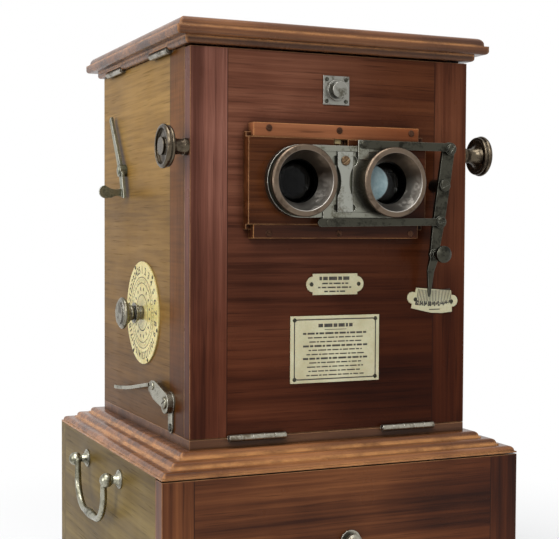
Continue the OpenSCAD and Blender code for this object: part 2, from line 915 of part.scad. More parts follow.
// Ivory plates nailed to the door: the spacing scale, a name plate and an instruction plate
module front_plates() color("ivory")
    upper()
        on_front(0, plate_t) {
            translate([scale_x, scale_z])
                union() {
                    polygon([[-12.7, 8.5], [14.5, 6.3], [15.3, -8.2], [7, -9], [-1.3, -8.6], [-16.7, -5.2]]);
                    for (side = [-1, 1])
                        translate([side * 15.6, 0.5 - side * 1.3])
                            circle(4);
                }
            translate([0.6, name_z]) {
                square(name_plate, center = true);
                for (side = [-1, 1])
                    translate([side * (name_plate[0] / 2 - 0.6), 0])
                        circle(plate_ear_r);
            }
            translate([1, note_z])
                square(note_plate, center = true);
        }

// Lens board and what it carries

half_board_h = lens_board_h / 2;
tongue = 3.2;
tongue_out = 4.5;
rail_x = -1.7;

module lens_board() color("brown")
    upper() {
        low = eye_z - half_board_h;
        high = eye_z + half_board_h;
        x = [lens_board_x - lens_board_w / 2, lens_board_x + lens_board_w / 2];
        difference() {
            union() {
                board(x, [face_y - board_front, face_y - board_back], [low, high]);
                board(x, [face_y - tongue_out, face_y - board_back], [low - tongue, high + tongue]);
            }
            translate([0, 2, 0])
                on_front(0, 20) {
                    tube_slot(-1, opening_r);
                    tube_slot(1, opening_r);
                    at_studs()
                        circle(guide_stud_r);
                }
            board([-rack_w / 2, rack_w / 2], [face_y - board_front - 1, face_y + 1],
                [focus_z + focus_pitch_r - 1, rack_top]);
            board([-5, 5], [face_y - board_front - 1, face_y - 5], [rack_top - 6.5, high]);
        }
    }

rack_top = focus_z + focus_pitch_r + dedendum * focus_module + 2.8;

module board_rails() color("chocolate")
    upper()
        for (side = [-1, 1])
            translate([0, 0, eye_z])
                mirror([0, 0, side < 0 ? 1 : 0])
                    difference() {
                        board([rail_x - rail_len / 2, rail_x + rail_len / 2],
                            [face_y - board_front + 0.4, face_y - board_back],
                            [half_board_h, half_board_h + rail_h]);
                        board([-rail_len, rail_len], [face_y - tongue_out, face_y],
                            [half_board_h - 1, half_board_h + tongue]);
                    }

module stadium(half, r) {
    for (side = [-1, 1])
        translate([side * half, 0])
            circle(r);
    square([2 * half, 2 * r], center = true);
}

module lens_frame() color("lightgray")
    upper() {
        on_front(board_front, frame_plate_t)
            difference() {
                translate([eye_mid_x, eye_z])
                    stadium(frame_end_x, frame_r);
                tube_slot(-1, opening_r);
                tube_slot(1, opening_r);
            }
        on_front(board_front + frame_plate_t, lip_front - board_front - frame_plate_t)
            translate([eye_mid_x, eye_z])
                difference() {
                    stadium(frame_end_x, frame_r);
                    stadium(frame_end_x, frame_r - frame_wall);
                }
        on_front(lip_back, lip_front - lip_back)
            translate([eye_mid_x, eye_z])
                for (side = [-1, 1])
                    translate([0, side * (frame_r - lip_h / 2)])
                        square([2 * frame_end_x - 8, lip_h], center = true);
        translate([0, door_t + 6, 0])
            on_front(0, door_t + 6 + board_front)
                at_studs()
                    circle(guide_stud_r);
    }

module centre_strap() color("gainsboro")
    upper() {
        half_h = frame_r - lip_h - 0.3;
        waist = 20;
        waist_in = 2.5;
        on_front(lip_back, 0.9)
            translate([eye_mid_x, eye_z])
                difference() {
                    square([strap_w, 2 * half_h], center = true);
                    for (side = [-1, 1])
                        translate([side * (strap_w / 2 + waist - waist_in), 0])
                            circle(waist);
                }
        on_front(board_front + frame_plate_t, lip_back - board_front - frame_plate_t)
            translate([eye_mid_x, eye_z]) {
                translate([0, strap_screw_z])
                    circle(2.2);
                translate([0, strap_pin_z])
                    circle(1.3);
            }
    }

module focus_rack() color("goldenrod")
    upper() {
        length = 28.5;
        translate([-rack_w / 2, 0, 0])
            intersection() {
                across_x(0, rack_w)
                    translate([focus_y, focus_z + focus_pitch_r])
                        rack_outline(19, focus_module, 2.8);
                board([-1, rack_w + 1], [face_y - tongue_out + 0.1, face_y - tongue_out + length],
                    [focus_z, rack_top]);
            }
    }

module focus_shaft() color("dimgray")
    upper() {
        bar_x(focus_shaft_r, [-side_x - 5, side_x + 5], focus_y, focus_z);
        translate([-2.6, focus_y, focus_z])
            rotate([90, 0, 90])
                linear_extrude(5.2)
                    gear_outline(focus_teeth, focus_module);
    }

// Dished milled knob on a flared stem, turned about +Z from the side of the door
module focus_knob_shape()
    difference() {
        rotate_extrude()
            difference() {
                union() {
                    translate([0, 0.4])
                        square([5.4, 2.2]);
                    difference() {
                        square([11.6, 12.5]);
                        translate([12.6, 5.2])
                            circle(7.8);
                        translate([5.4, -1])
                            square(6.5);
                    }
                    translate([0, 12])
                        square([focus_knob_r - 1.8, focus_knob_out - 13]);
                    translate([focus_knob_r - 2, 12.6])
                        circle(1.2);
                    translate([focus_knob_r - 1.7, 15.4])
                        circle(1.7);
                    translate([0, 12])
                        square([5.6, focus_knob_out - 12.6]);
                }
                difference() {
                    translate([0, focus_knob_out - 2.6])
                        square([focus_knob_r - 2.4, 6]);
                    square([5.6, focus_knob_out - 0.6]);
                }
                translate([-30, -1])
                    square([30, 40]);
            }
        translate([0, 0, -1])
            cylinder(r = focus_shaft_r, h = 6);
    }

module focus_knobs() color("gray")
    upper()
        for (side = [-1, 1])
            translate([side * side_x, focus_y, focus_z])
                rotate([0, side * 90, 0])
                    focus_knob_shape();

// Sliding lens plates, eyecups and links

lens_plate_r = 18;
plate_half_h = frame_r - frame_wall - slide_gap;

module plate_outline(side) {
    inner = eye_travel_in + 0.25;
    lens = eye_spacing / 2;
    translate([eye_mid_x, eye_z])
        mirror([side < 0 ? 1 : 0, 0])
            difference() {
                union() {
                    translate([inner, -plate_half_h])
                        square([lens - inner, 2 * plate_half_h]);
                    translate([lens, 0])
                        circle(lens_plate_r);
                }
                translate([lens, 0])
                    circle(tube_r);
                translate([inner, strap_screw_z])
                    circle(notch_r);
                translate([inner, strap_pin_z])
                    circle(2.2);
            }
}

// side 1 is the right plate, whose ear stands up; side -1 the left, whose ear hangs down
module lens_plate(side)
    upper() {
        on_front(board_front + frame_plate_t + slide_gap / 2, lens_plate_t)
            plate_outline(side);
        lip_edge = frame_r - lip_h - slide_gap;
        translate([eye_mid_x, 0, eye_z])
            mirror([side < 0 ? 1 : 0, 0, 0])
                mirror([0, 0, side < 0 ? 1 : 0]) {
                    board([strap_w / 2 + eye_travel_in + 0.4, ear_x + ear_w / 2],
                        [face_y - link_back, face_y - plate_front], [lip_edge - 4.6, lip_edge]);
                    board([ear_x - ear_w / 2, ear_x + ear_w / 2],
                        [face_y - link_back, face_y - lip_front - slide_gap], [lip_edge - 4.6, 27]);
                }
    }

module left_lens_plate() color("silver")
    lens_plate(-1);

module right_lens_plate() color("silver")
    lens_plate(1);

module eyecup(side)
    upper() {
        end_r = frame_end_x + frame_r - frame_wall - eye_spacing / 2 - eye_travel_out - 0.4;
        neck_r = min(end_r, frame_r - lip_h - 0.6);
        translate([eye_mid_x + side * eye_spacing / 2, face_y, eye_z])
            rotate([90, 0, 0])
                rotate_extrude()
                    difference() {
                        union() {
                            translate([tube_r - tube_wall, tube_back])
                                square([tube_wall, plate_front - tube_back]);
                            translate([tube_r - tube_wall, plate_front])
                                square([neck_r - tube_r + tube_wall, eyecup_h - 2]);
                            translate([eyecup_r - lip_r, plate_front + eyecup_h - lip_r])
                                circle(lip_r);
                            translate([17, plate_front + eyecup_h - 2 * lip_r])
                                square([eyecup_r - lip_r - 17, 2 * lip_r]);
                        }
                        polygon([[tube_r - tube_wall - 0.1, plate_front - 2],
                            [tube_r - tube_wall, plate_front - 2],
                            [19, plate_front + eyecup_h + 0.1],
                            [tube_r - tube_wall - 0.1, plate_front + eyecup_h + 0.1]]);
                    }
    }

module left_eyecup() color("rosybrown")
    eyecup(-1);

module right_eyecup() color("rosybrown")
    eyecup(1);

// Biconvex lens held in its tube
module lens_solid(side) {
    r = tube_r - tube_wall;
    curve = 34;
    sag = curve - sqrt(curve * curve - r * r);
    edge = 1.6;
    upper()
        translate([eye_mid_x + side * eye_spacing / 2, face_y - 6, eye_z])
            rotate([90, 0, 0])
                rotate_extrude()
                    intersection() {
                        translate([0, edge / 2 + sag - curve])
                            circle(curve, $fn = 240);
                        translate([0, curve - sag - edge / 2])
                            circle(curve, $fn = 240);
                        translate([0, -10])
                            square([r, 20]);
                    }
}

module left_lens() color("lightblue", 0.5)
    lens_solid(-1);

module right_lens() color("lightblue", 0.5)
    lens_solid(1);

// Flat link from a lens plate to the lever, its shoulder screw reaching back through the lever
module link(x_free, z_free, x_pin, z_near, z_pin, near_h) {
    on_front(link_back, link_t) {
        polygon([[x_free, z_free - link_h / 2], [x_pin, z_near - near_h / 2],
            [x_pin, z_near + near_h / 2], [x_free, z_free + link_h / 2]]);
        translate([x_free, z_free])
            circle(link_h / 2);
        translate([x_pin, z_pin])
            circle(4.1);
    }
    on_front(link_back + link_t, 1.5)
        translate([x_pin, z_pin])
            circle(3.1);
    on_front(4.6, link_back - 4.6)
        translate([x_pin, z_pin])
            circle(link_pin_r);
}

module right_link() color("darkslategray")
    upper()
        link(eye_mid_x + ear_x, lever_z + pin_dz + 1,
            lever_x + pin_dx, lever_z + pin_dz + 1, lever_z + pin_dz, link_h);

module left_link() color("darkslategray")
    upper()
        link(eye_mid_x - ear_x - 4.9, lever_z - pin_dz - 1,
            lever_x - pin_dx, lever_z - pin_dz, lever_z - pin_dz, 4.6);

lever_back = board_front + 1.6;
lever_t = 2.4;
pointer_out = 9;

// Upright lever with its pins' slots, pointer and knob, drawn upright at the pivot
module lever_outline() {
    difference() {
        union() {
            polygon([[-4.5, lever_pin_d], [4.5, lever_pin_d], [4.5, -2], [4.2, -lever_pin_d - 2],
                [3.1, -lever_knob_d], [-3.1, -lever_knob_d], [-4.2, -lever_pin_d - 2], [-4.5, -2]]);
            translate([0, lever_pin_d])
                circle(4.5);
            translate([0, -lever_knob_d])
                circle(3.6);
        }
        circle(2.5 + running_gap);
        for (side = [-1, 1])
            translate([0, side * lever_pin_d])
                square([2 * link_pin_r + 0.3, 2 * link_pin_r + 2], center = true);
    }
}

module spacing_lever() color("darkslategray")
    upper()
        translate([lever_x, 0, lever_z])
            rotate([0, lever_tilt, 0]) {
                on_front(lever_back, lever_t)
                    lever_outline();
                intersection() {
                    on_front(0, 30)
                        polygon([[-3, -lever_knob_d], [3, -lever_knob_d], [3, -lever_knob_d - 9],
                            [2.5, -lever_tip_d], [1.5, -lever_tip_d], [-2.4, -lever_knob_d - 9]]);
                    across_x(-4, 8)
                        polygon([[face_y - lever_back, -lever_knob_d],
                            [face_y - lever_back - lever_t, -lever_knob_d],
                            [face_y - lever_back - lever_t, -lever_knob_d - 5],
                            [face_y - pointer_out - 1.6, -lever_knob_d - 11],
                            [face_y - pointer_out - 1.6, -lever_tip_d],
                            [face_y - pointer_out, -lever_tip_d],
                            [face_y - pointer_out, -lever_knob_d - 11.6],
                            [face_y - lever_back, -lever_knob_d - 4]]);
                }
                translate([0, face_y - lever_back - lever_t, -lever_knob_d])
                    rotate([90, 0, 0])
                        rotate_extrude() {
                            square([3.4, 2]);
                            square([2.2, 10]);
                            translate([0, 9])
                                square([5.5, 3]);
                            intersection() {
                                translate([0, 4])
                                    circle(9.7);
                                translate([0, 12])
                                    square([5.5, 3]);
                            }
                        }
            }

// Magazine drive

module dial_shaft() color("dimgray")
    upper() {
        bar_x(shaft_r, [-side_x - 9, pinion_x + pinion_w], dial_y, dial_z);
        translate([pinion_x, dial_y, dial_z])
            rotate([90, 0, 90])
                linear_extrude(pinion_w)
                    gear_outline(slide_count, drive_module);
    }

// Turned knob with a beaded stem
module dial_knob() color("gray")
    upper()
        translate([-side_x, dial_y, dial_z])
            rotate([0, -90, 0]) {
                difference() {
                    rotate_extrude()
                        difference() {
                            union() {
                                translate([0, 1.4])
                                    square([4.2, 12.6]);
                                translate([0, 1.4])
                                    square([4.8, 2]);
                                translate([0, 4])
                                    square([5.6, 1.2]);
                                translate([0, 6])
                                    square([7.2, 1]);
                                translate([3, 9])
                                    circle(2.2);
                                translate([0, 11])
                                    square([7, 2]);
                                translate([0, 13])
                                    square([9.3, 4]);
                                translate([9.3, 15])
                                    circle(1.6);
                                translate([0, 17])
                                    square([7.6, 1]);
                            }
                            translate([-20, -1])
                                square([20, 40]);
                        }
                    translate([0, 0, 1])
                        cylinder(r = shaft_r, h = 8);
                }
            }

module carriage() color("burlywood")
    upper()
        translate([0, dial_y, 0]) {
            half_l = magazine_half_l + 3;
            foot = magazine_foot_z;
            cheek_top = foot + 22;
            for (side = [-1, 1])
                mirror([side < 0 ? 1 : 0, 0, 0]) {
                    board([cheek_in, cheek_in + cheek_t], [-half_l, half_l], [carriage_foot_z, cheek_top]);
                    board([cheek_in - 7, tongue_in + tongue_w + 1], [-half_l, half_l],
                        [carriage_foot_z, foot - 3]);
                    board([cheek_in - 7, cheek_in + 1], [-half_l, half_l], [carriage_foot_z, foot]);
                    board([tongue_in, tongue_in + tongue_w], [-half_l, half_l],
                        [carriage_foot_z - tongue_h, foot - 4]);
                }
            for (end = [-1, 1])
                translate([0, end * (half_l - 1.4), 0])
                    difference() {
                        board([-cheek_in - 1, cheek_in + 1], [-1.4, 1.4], [carriage_foot_z, cheek_top]);
                        board([-arm_gate / 2, arm_gate / 2], [-2, 2], [carriage_foot_z - 1, arm_gate_top]);
                    }
            rack_z = dial_z + drive_r;
            across_x(pinion_x, pinion_w)
                translate([0, rack_z])
                    rack_outline(slide_count + 2, drive_module, 3);
            board([pinion_x, -cheek_in - 1], [-half_l + 1, half_l - 1],
                [rack_z + dedendum * drive_module, rack_z + dedendum * drive_module + 3]);
        }

module magazine() color("darkgoldenrod")
    upper()
        translate([0, dial_y, magazine_foot_z])
            magazine_shape();

// The middle slot belongs to the slide in view, and the two end slots are free
module glass_slides() color("lightblue", 0.5)
    upper()
        for (i = [1:slide_count - 2])
            if (i != (slide_count - 1) / 2)
                translate([0, dial_y + (i - (slide_count - 1) / 2) * slide_pitch, 0])
                    board([-slide_w / 2, slide_w / 2], [-slide_t / 2, slide_t / 2],
                        [slide_z, slide_z + slide_h]);

// Title reading

title_arm_x = -70;
title_arm_len = 62;
title_rest = 22;

// Long flat lever on the left side with a leaf-shaped thumb piece at its foot
module title_lever() color("darkseagreen")
    upper()
        translate([-side_x, title_y, title_z]) {
            across_x(-4.4, 2) {
                circle(4.4);
                polygon([[-3.2, 0], [2.8, -2], [27, 38], [23.6, 40.3]]);
                polygon([[-4.2, 0], [3, 0], [-2.5, -18], [-9.5, -20]]);
            }
            rotate([0, -90, 0])
                difference() {
                    cylinder(r = 4.4, h = 5.4);
                    translate([0, 0, -1])
                        cylinder(r = shaft_r, h = 3.4);
                }
            translate([0, -3.2, 0])
                rotate([90, 0, 0])
                    linear_extrude(1.6)
                        title_leaf();
        }

// Thumb leaf seen from the front: a round lobe on a curved neck that comes off the strip's foot
module title_leaf()
    difference() {
        union() {
            translate([-16.2, -15.6])
                circle(4.7);
            polygon([[-2.4, -12.5], [-13, -12.2], [-16, -19.8], [-2.4, -20]]);
        }
        translate([-7.6, -26])
            circle(7.6);
        translate([-9, -2.5])
            circle(11.2);
    }

module title_arm() color("darkkhaki")
    upper() {
        bar_x(shaft_r, [-side_x - 2.3, title_arm_x + 3], title_y, title_z);
        translate([0, title_y, title_z])
            rotate([-title_rest, 0, 0]) {
                across_x(title_arm_x, 3) {
                    circle(6);
                    translate([-title_arm_len, -2.5])
                        square([title_arm_len, 5]);
                }
                board([title_arm_x, -48], [-title_arm_len, 4 - title_arm_len], [-2.5, 2.5]);
                translate([-36, -title_arm_len, 0])
                    rotate([-90, 0, 0])
                        difference() {
                            cylinder(r = 13.5, h = 4);
                            translate([0, 0, -1])
                                cylinder(r = 11.5, h = 6);
                        }
            }
    }

// Release lever

release_foot_z = 9.4;

module release_bracket() color("gray")
    upper()
        across_x(-side_x - 1.2, 1.2)
            difference() {
                union() {
                    translate([release_y, release_foot_z])
                        circle(4);
                    translate([release_y - 4, release_foot_z])
                        square([8, release_z - release_foot_z]);
                    translate([release_y, release_z])
                        circle(7);
                }
                translate([release_y, release_z])
                    circle(release_r + running_gap);
            }

// Hub, plate arm and waved handle outside, pawl on the same shaft inside
module release_lever() color("gray")
    upper()
        translate([-side_x, release_y, release_z]) {
            rotate([0, -90, 0])
                translate([0, 0, 1.4])
                    cylinder(r = 7, h = 3.8);
            across_x(-5.2, 1.2)
                polygon([[-3, 6.4], [16.5, 11], [20.5, 11.8], [27, 11.4], [31.6, 9.6], [33.4, 6.8],
                    [32.4, 4], [23, -0.6], [7.3, -3.4], [0, -6.8]]);
            across_x(-6.8, 3)
                release_handle();
            bar_x(release_r, [-4, side_x - inner_x + 12], 0, 0);
            pawl = norm([dial_y - release_y, dial_z - release_z]) - drive_r - addendum * drive_module - 0.5;
            across_x(side_x + pinion_x + 1, 4)
                rotate(atan2(dial_z - release_z, dial_y - release_y)) {
                    circle(5);
                    translate([0, -2])
                        square([pawl - 4, 4]);
                    polygon([[pawl - 4, -2], [pawl, -0.6], [pawl, 0.6], [pawl - 4, 2]]);
                }
        }

// Slim strip that falls away from the plate and levels out again at its end
module release_handle() {
    t = 2.4;
    bend = 413;
    fall = 9.4;
    start = [65, 2.4];
    end_y = 108;
    polygon([[30, start[1] + 36 * tan(fall) - t / 2], start - [0, t / 2], start + [0, t / 2],
        [30, start[1] + 36 * tan(fall) + t / 2]]);
    intersection() {
        translate(start + bend * [sin(fall), cos(fall)])
            difference() {
                circle(bend + t / 2);
                circle(bend - t / 2);
            }
        translate([start[0] - 0.2, -20])
            square([end_y - start[0], 40]);
    }
    translate([end_y - 0.4, start[1] + bend * (cos(fall) - sqrt(1 - pow(sin(fall) - (end_y - start[0]) / bend, 2)))])
        circle(t / 2);
}

// Slide lift

module lift_shaft() color("dimgray")
    upper() {
        bar_x(lift_shaft_r, [9, side_x + 6], lift_y, lift_z);
        arm_end = [dial_y + lift_shift - lift_y, -lift_travel / 2];
        translate([0, lift_y, lift_z]) {
            across_x(9, 4)
                rotate(180 + lift_half) {
                    circle(8);
                    translate([0, -lift_arm_w / 2])
                        square([lift_arm, lift_arm_w]);
                    translate([lift_arm, 0])
                        circle(lift_arm_w / 2);
                }
            bar_x(lift_pin_r, [-8, 10], arm_end[0], arm_end[1]);
        }
    }

module lift_lever() color("gray")
    upper()
        translate([side_x, lift_y, lift_z])
            difference() {
                union() {
                    bar_x(9, [0.6, 9], 0, 0);
                    across_x(4, 4)
                        rotate(180 + lever_rest_angle) {
                            polygon([[0, -6], [lift_lever_len, -4], [lift_lever_len, 4], [0, 6]]);
                            translate([lift_lever_len, 0])
                                circle(6);
                        }
                    translate([8, -lift_lever_len * cos(lever_rest_angle),
                        -lift_lever_len * sin(lever_rest_angle)])
                        rotate([0, 90, 0])
                            rotate_extrude()
                                intersection() {
                                    union() {
                                        square([4, 18]);
                                        translate([0, 11])
                                            circle(7);
                                    }
                                    square([8, 18]);
                                }
                }
                bar_x(lift_shaft_r, [-1, 6], 0, 0);
            }

// Thin blade on a slotted crosshead that the pin of the lift arm raises
module lifter() color("silver")
    upper() {
        top = slide_z - 0.4;
        head = top - lift_travel - 0.4;
        tongue_half = 7;
        pin_z = lift_z - lift_travel / 2;
        slot_h = 2 * lift_pin_r + 1.7;
        slot_l = 2 * (lift_shift + lift_pin_r) + 1;
        blade_y = [dial_y - blade_t / 2, dial_y + blade_t / 2];
        board([-blade_w / 2, blade_w / 2], blade_y, [head, top]);
        board([-tongue_half, tongue_half], blade_y, [head - 1, head + 1]);
        difference() {
            board([-8, 8], [dial_y - 12, dial_y + 12], [pin_z - 4.6, head]);
            board([-9, 9], [dial_y - slot_l / 2, dial_y + slot_l / 2],
                [pin_z - slot_h / 2, pin_z + slot_h / 2]);
        }
    }

// Carrying handles, hanging from the balls of their posts

bail_drop = 31;
bail_corner = 20;
bail_swell = 0.9;

module bail(side)
    translate([side * (base_w / 2 + handle_out), handle_y, handle_z]) {
        half = handle_w / 2 - ball_r - bail_top_r - 0.4;
        for (end = [-1, 1]) {
            translate([0, end * half, 0]) {
                rotate([-end * 90, 0, 0])
                    cylinder(r = bail_pin_r, h = handle_w / 2 - half + 0.5);
                sphere(bail_top_r);
                translate([0, 0, bail_corner - bail_drop])
                    cylinder(r1 = bail_r, r2 = bail_top_r, h = bail_drop - bail_corner);
            }
            translate([0, end * (half - bail_corner), bail_corner - bail_drop])
                rotate([0, 90, 0])
                    rotate([0, 0, end > 0 ? 0 : -90])
                        rotate_extrude(angle = 90)
                            translate([bail_corner, 0])
                                circle(bail_r);
            translate([0, 0, -bail_drop])
                rotate([-end * 90, 0, 0])
                    cylinder(r1 = bail_r + bail_swell, r2 = bail_r, h = half - bail_corner);
        }
    }

module left_bail() color("lightslategray")
    bail(-1);

module right_bail() color("lightslategray")
    bail(1);

base_floor();
base_walls();
base_shelves();
plinth_top();
handle_posts();
spare_magazines();
cabinet_floor();
left_wall();
right_wall();
back_wall();
glass_bead();
ground_glass();
front_rail();
runners();
slide_gate();
viewed_slide();
lift_guide();
dial_plate();
release_bracket();
fixed_hinges();
base_flap();
flap_fittings();
lid();
lid_hinge_leaves();
door_panel();
door_hinge_leaves();
latch_plate();
lever_pivot();
front_plates();
latch_button();
latch_hook();
lens_board();
board_rails();
lens_frame();
centre_strap();
focus_rack();
focus_shaft();
focus_knobs();
left_lens_plate();
left_eyecup();
left_lens();
left_link();
right_lens_plate();
right_eyecup();
right_lens();
right_link();
spacing_lever();
dial_shaft();
dial_knob();
carriage();
magazine();
glass_slides();
title_lever();
title_arm();
release_lever();
lift_lever();
lift_shaft();
lifter();
left_bail();
right_bail();
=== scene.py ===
import math

import bmesh
import bpy
from mathutils import Matrix, Vector


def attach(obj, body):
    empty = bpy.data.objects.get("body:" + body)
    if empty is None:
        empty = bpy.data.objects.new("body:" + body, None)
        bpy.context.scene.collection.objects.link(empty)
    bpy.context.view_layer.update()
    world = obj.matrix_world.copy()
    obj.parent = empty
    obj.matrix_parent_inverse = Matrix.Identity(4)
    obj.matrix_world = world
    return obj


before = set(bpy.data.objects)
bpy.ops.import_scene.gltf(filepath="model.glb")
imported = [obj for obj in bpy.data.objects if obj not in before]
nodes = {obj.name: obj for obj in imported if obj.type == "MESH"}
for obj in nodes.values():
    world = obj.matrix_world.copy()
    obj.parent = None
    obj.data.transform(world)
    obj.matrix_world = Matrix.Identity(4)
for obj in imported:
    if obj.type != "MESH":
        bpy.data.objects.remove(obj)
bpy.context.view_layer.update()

# Camera at the photograph's place: the view comes from the front left, a little above
# the middle of the cabinet, with a moderately long lens and a small shift. The picture's
# size, the focal length and the lens axis are in pixels.
picture_wide, picture_high = 559, 539
focal_length = 1189.308
axis_x, axis_y = 253.245, 275.41
film_wide = 36.0
yaw, pitch, roll = math.radians(23.031), math.radians(-2.148), math.radians(0.222)
forward = Vector((math.sin(yaw) * math.cos(pitch), math.cos(yaw) * math.cos(pitch),
                  math.sin(pitch)))
level = Vector((math.cos(yaw), -math.sin(yaw), 0.0))
upright = level.cross(forward)
right = level * math.cos(roll) + upright * math.sin(roll)
up = upright * math.cos(roll) - level * math.sin(roll)
bpy.ops.object.camera_add(location=(-0.351918, -0.790412, 0.314944))
camera = bpy.context.object
camera.rotation_euler = Matrix((right, up, -forward)).transposed().to_euler()
camera.data.sensor_width = film_wide
camera.data.lens = focal_length / picture_wide * film_wide
camera.data.shift_x = (picture_wide / 2 - axis_x) / picture_wide
camera.data.shift_y = (axis_y - picture_high / 2) / picture_wide
camera.data.clip_start = 0.02
bpy.context.scene.camera = camera
bpy.context.scene.view_settings.view_transform = "Standard"


# Studio: a pale floor that turns to plain white away from the base and keeps the shadow near
# it, three soft boxes at the left, above and in front, and a surround that is white to the
# camera, in reflections and through glass, and dimmer where it lights the object.
def shader(tree, kind, settings=None, **sockets):
    """One shader node. A socket is named, or numbered as i0, i1 and so on, and its value may
    be a number, a colour or another node's output."""
    made = tree.nodes.new("ShaderNode" + kind)
    for key, value in (settings or {}).items():
        setattr(made, key, value)
    for key, value in sockets.items():
        numbered = key[0] == "i" and key[1:].isdigit()
        socket = made.inputs[int(key[1:]) if numbered else key.replace("_", " ")]
        if isinstance(value, bpy.types.NodeSocket):
            tree.links.new(value, socket)
        elif isinstance(value, tuple) and len(value) == 3 and socket.type == "RGBA":
            socket.default_value = (*value, 1.0)
        else:
            socket.default_value = value
    return made


def calc(tree, operation, a, b=0.0):
    return shader(tree, "Math", {"operation": operation}, i0=a, i1=b).outputs[0]


def blank(name):
    """A new material whose only nodes are the surface shader and the output."""
    paint = bpy.data.materials.new(name)
    paint.use_nodes = True
    return paint, paint.node_tree, paint.node_tree.nodes["Principled BSDF"]


def background_rays(tree):
    """1 for what the camera sees straight, in a reflection or through glass."""
    rays = shader(tree, "LightPath").outputs
    seen = calc(tree, "MAXIMUM", rays["Is Camera Ray"], rays["Is Glossy Ray"])
    return calc(tree, "MAXIMUM", seen, rays["Is Transmission Ray"])


bpy.ops.mesh.primitive_plane_add(size=30.0, location=(0.0, 0.0, 0.0))
floor = bpy.context.object
floor.name = "floor"
floor_paint, tree, surface = blank("floor_paint")
surface.inputs["Base Color"].default_value = (0.86, 0.86, 0.86, 1.0)
surface.inputs["Roughness"].default_value = 0.9
surface.inputs["Specular IOR Level"].default_value = 0.1
place = shader(tree, "TexCoord").outputs["Object"]
reach = shader(tree, "VectorMath", {"operation": "LENGTH"}, i0=place).outputs["Value"]
far = shader(tree, "MapRange", {"interpolation_type": "SMOOTHSTEP"}, Value=reach,
             From_Min=0.22, From_Max=0.75)
share = calc(tree, "MULTIPLY", far.outputs["Result"], background_rays(tree))
white = shader(tree, "Emission", Color=(1.0, 1.0, 1.0), Strength=1.0).outputs[0]
both = shader(tree, "MixShader", i0=share, i1=surface.outputs[0], i2=white).outputs[0]
tree.links.new(both, tree.nodes["Material Output"].inputs["Surface"])
floor.data.materials.append(floor_paint)
for name, place, aim, size, power in (
        ("left_box", (-1.9, -0.35, 0.85), (0.0, 0.0, 0.32), (1.0, 1.5), 20.0),
        ("top_box", (-0.35, -0.35, 1.9), (0.0, 0.0, 0.3), (1.3, 1.3), 30.0),
        ("front_box", (-1.3, -2.0, 1.7), (-0.05, 0.0, 0.3), (1.2, 1.0), 30.0)):
    bpy.ops.object.light_add(type="AREA", location=place)
    lamp = bpy.context.object
    lamp.name = name
    lamp.data.shape = "RECTANGLE"
    lamp.data.size, lamp.data.size_y = size
    lamp.data.energy = power
    lamp.rotation_euler = (Vector(aim) - Vector(place)).to_track_quat("-Z", "Y").to_euler()
world = bpy.context.scene.world or bpy.data.worlds.new("surround")
bpy.context.scene.world = world
world.use_nodes = True
tree = world.node_tree
tree.nodes.clear()
seen = shader(tree, "Background", Color=(1.0, 1.0, 1.0), Strength=1.0).outputs[0]
lit = shader(tree, "Background", Color=(0.93, 0.96, 1.0), Strength=0.28).outputs[0]
both = shader(tree, "MixShader", i0=background_rays(tree), i1=lit, i2=seen).outputs[0]
tree.links.new(both, shader(tree, "OutputWorld").inputs["Surface"])


# Storage base: boards of old oiled walnut, glued at the corners, with two plain shelves let
# into the sides. The finish has faded to olive brown, where the light fell.
def edge_glow(tree, radius, low, high):
    """1 on the sharp edges of a solid and 0 on its flats, and the softened normal there."""
    soft = shader(tree, "Bevel", {"samples": 6}, Radius=radius).outputs[0]
    true = shader(tree, "NewGeometry").outputs["Normal"]
    turn = shader(tree, "VectorMath", {"operation": "DOT_PRODUCT"}, i0=soft, i1=true)
    edge = shader(tree, "MapRange", Value=turn.outputs["Value"], From_Min=1.0 - low,
                  From_Max=1.0 - high)
    return edge.outputs["Result"], soft


def spots(tree, where, scale, detail=4.0, rough=0.55, warp=0.0):
    """Soft cloudy noise about 0.5, with that count of features per metre."""
    return shader(tree, "TexNoise", Vector=where, Scale=scale, Detail=detail, Roughness=rough,
                  Distortion=warp).outputs["Fac"]


def squeeze(tree, where, size):
    """Object coordinates stretched to long fibres: size is the count of features per metre."""
    return shader(tree, "Mapping", {"vector_type": "POINT"}, Vector=where, Scale=size).outputs[0]


def spread(tree, value, low, high):
    """0 at low and 1 at high, or the other way round where low is the larger."""
    return shader(tree, "MapRange", Value=value, From_Min=low, From_Max=high).outputs["Result"]


def tint(tree, amount, first, second, way="MIX"):
    """A mix of two colours, each a colour or another node's output."""
    made = shader(tree, "Mix", {"data_type": "RGBA", "blend_type": way}, i0=amount)
    for index, value in ((6, first), (7, second)):
        if isinstance(value, bpy.types.NodeSocket):
            tree.links.new(value, made.inputs[index])
        else:
            made.inputs[index].default_value = (*value, 1.0)
    return made.outputs[2]


fibre_sizes = {"X": ((5, 260, 260), (1.6, 34, 34), (26, 900, 900)),
               "Y": ((260, 5, 260), (34, 1.6, 34), (900, 26, 900)),
               "Z": ((260, 260, 5), (34, 34, 1.6), (900, 900, 26))}


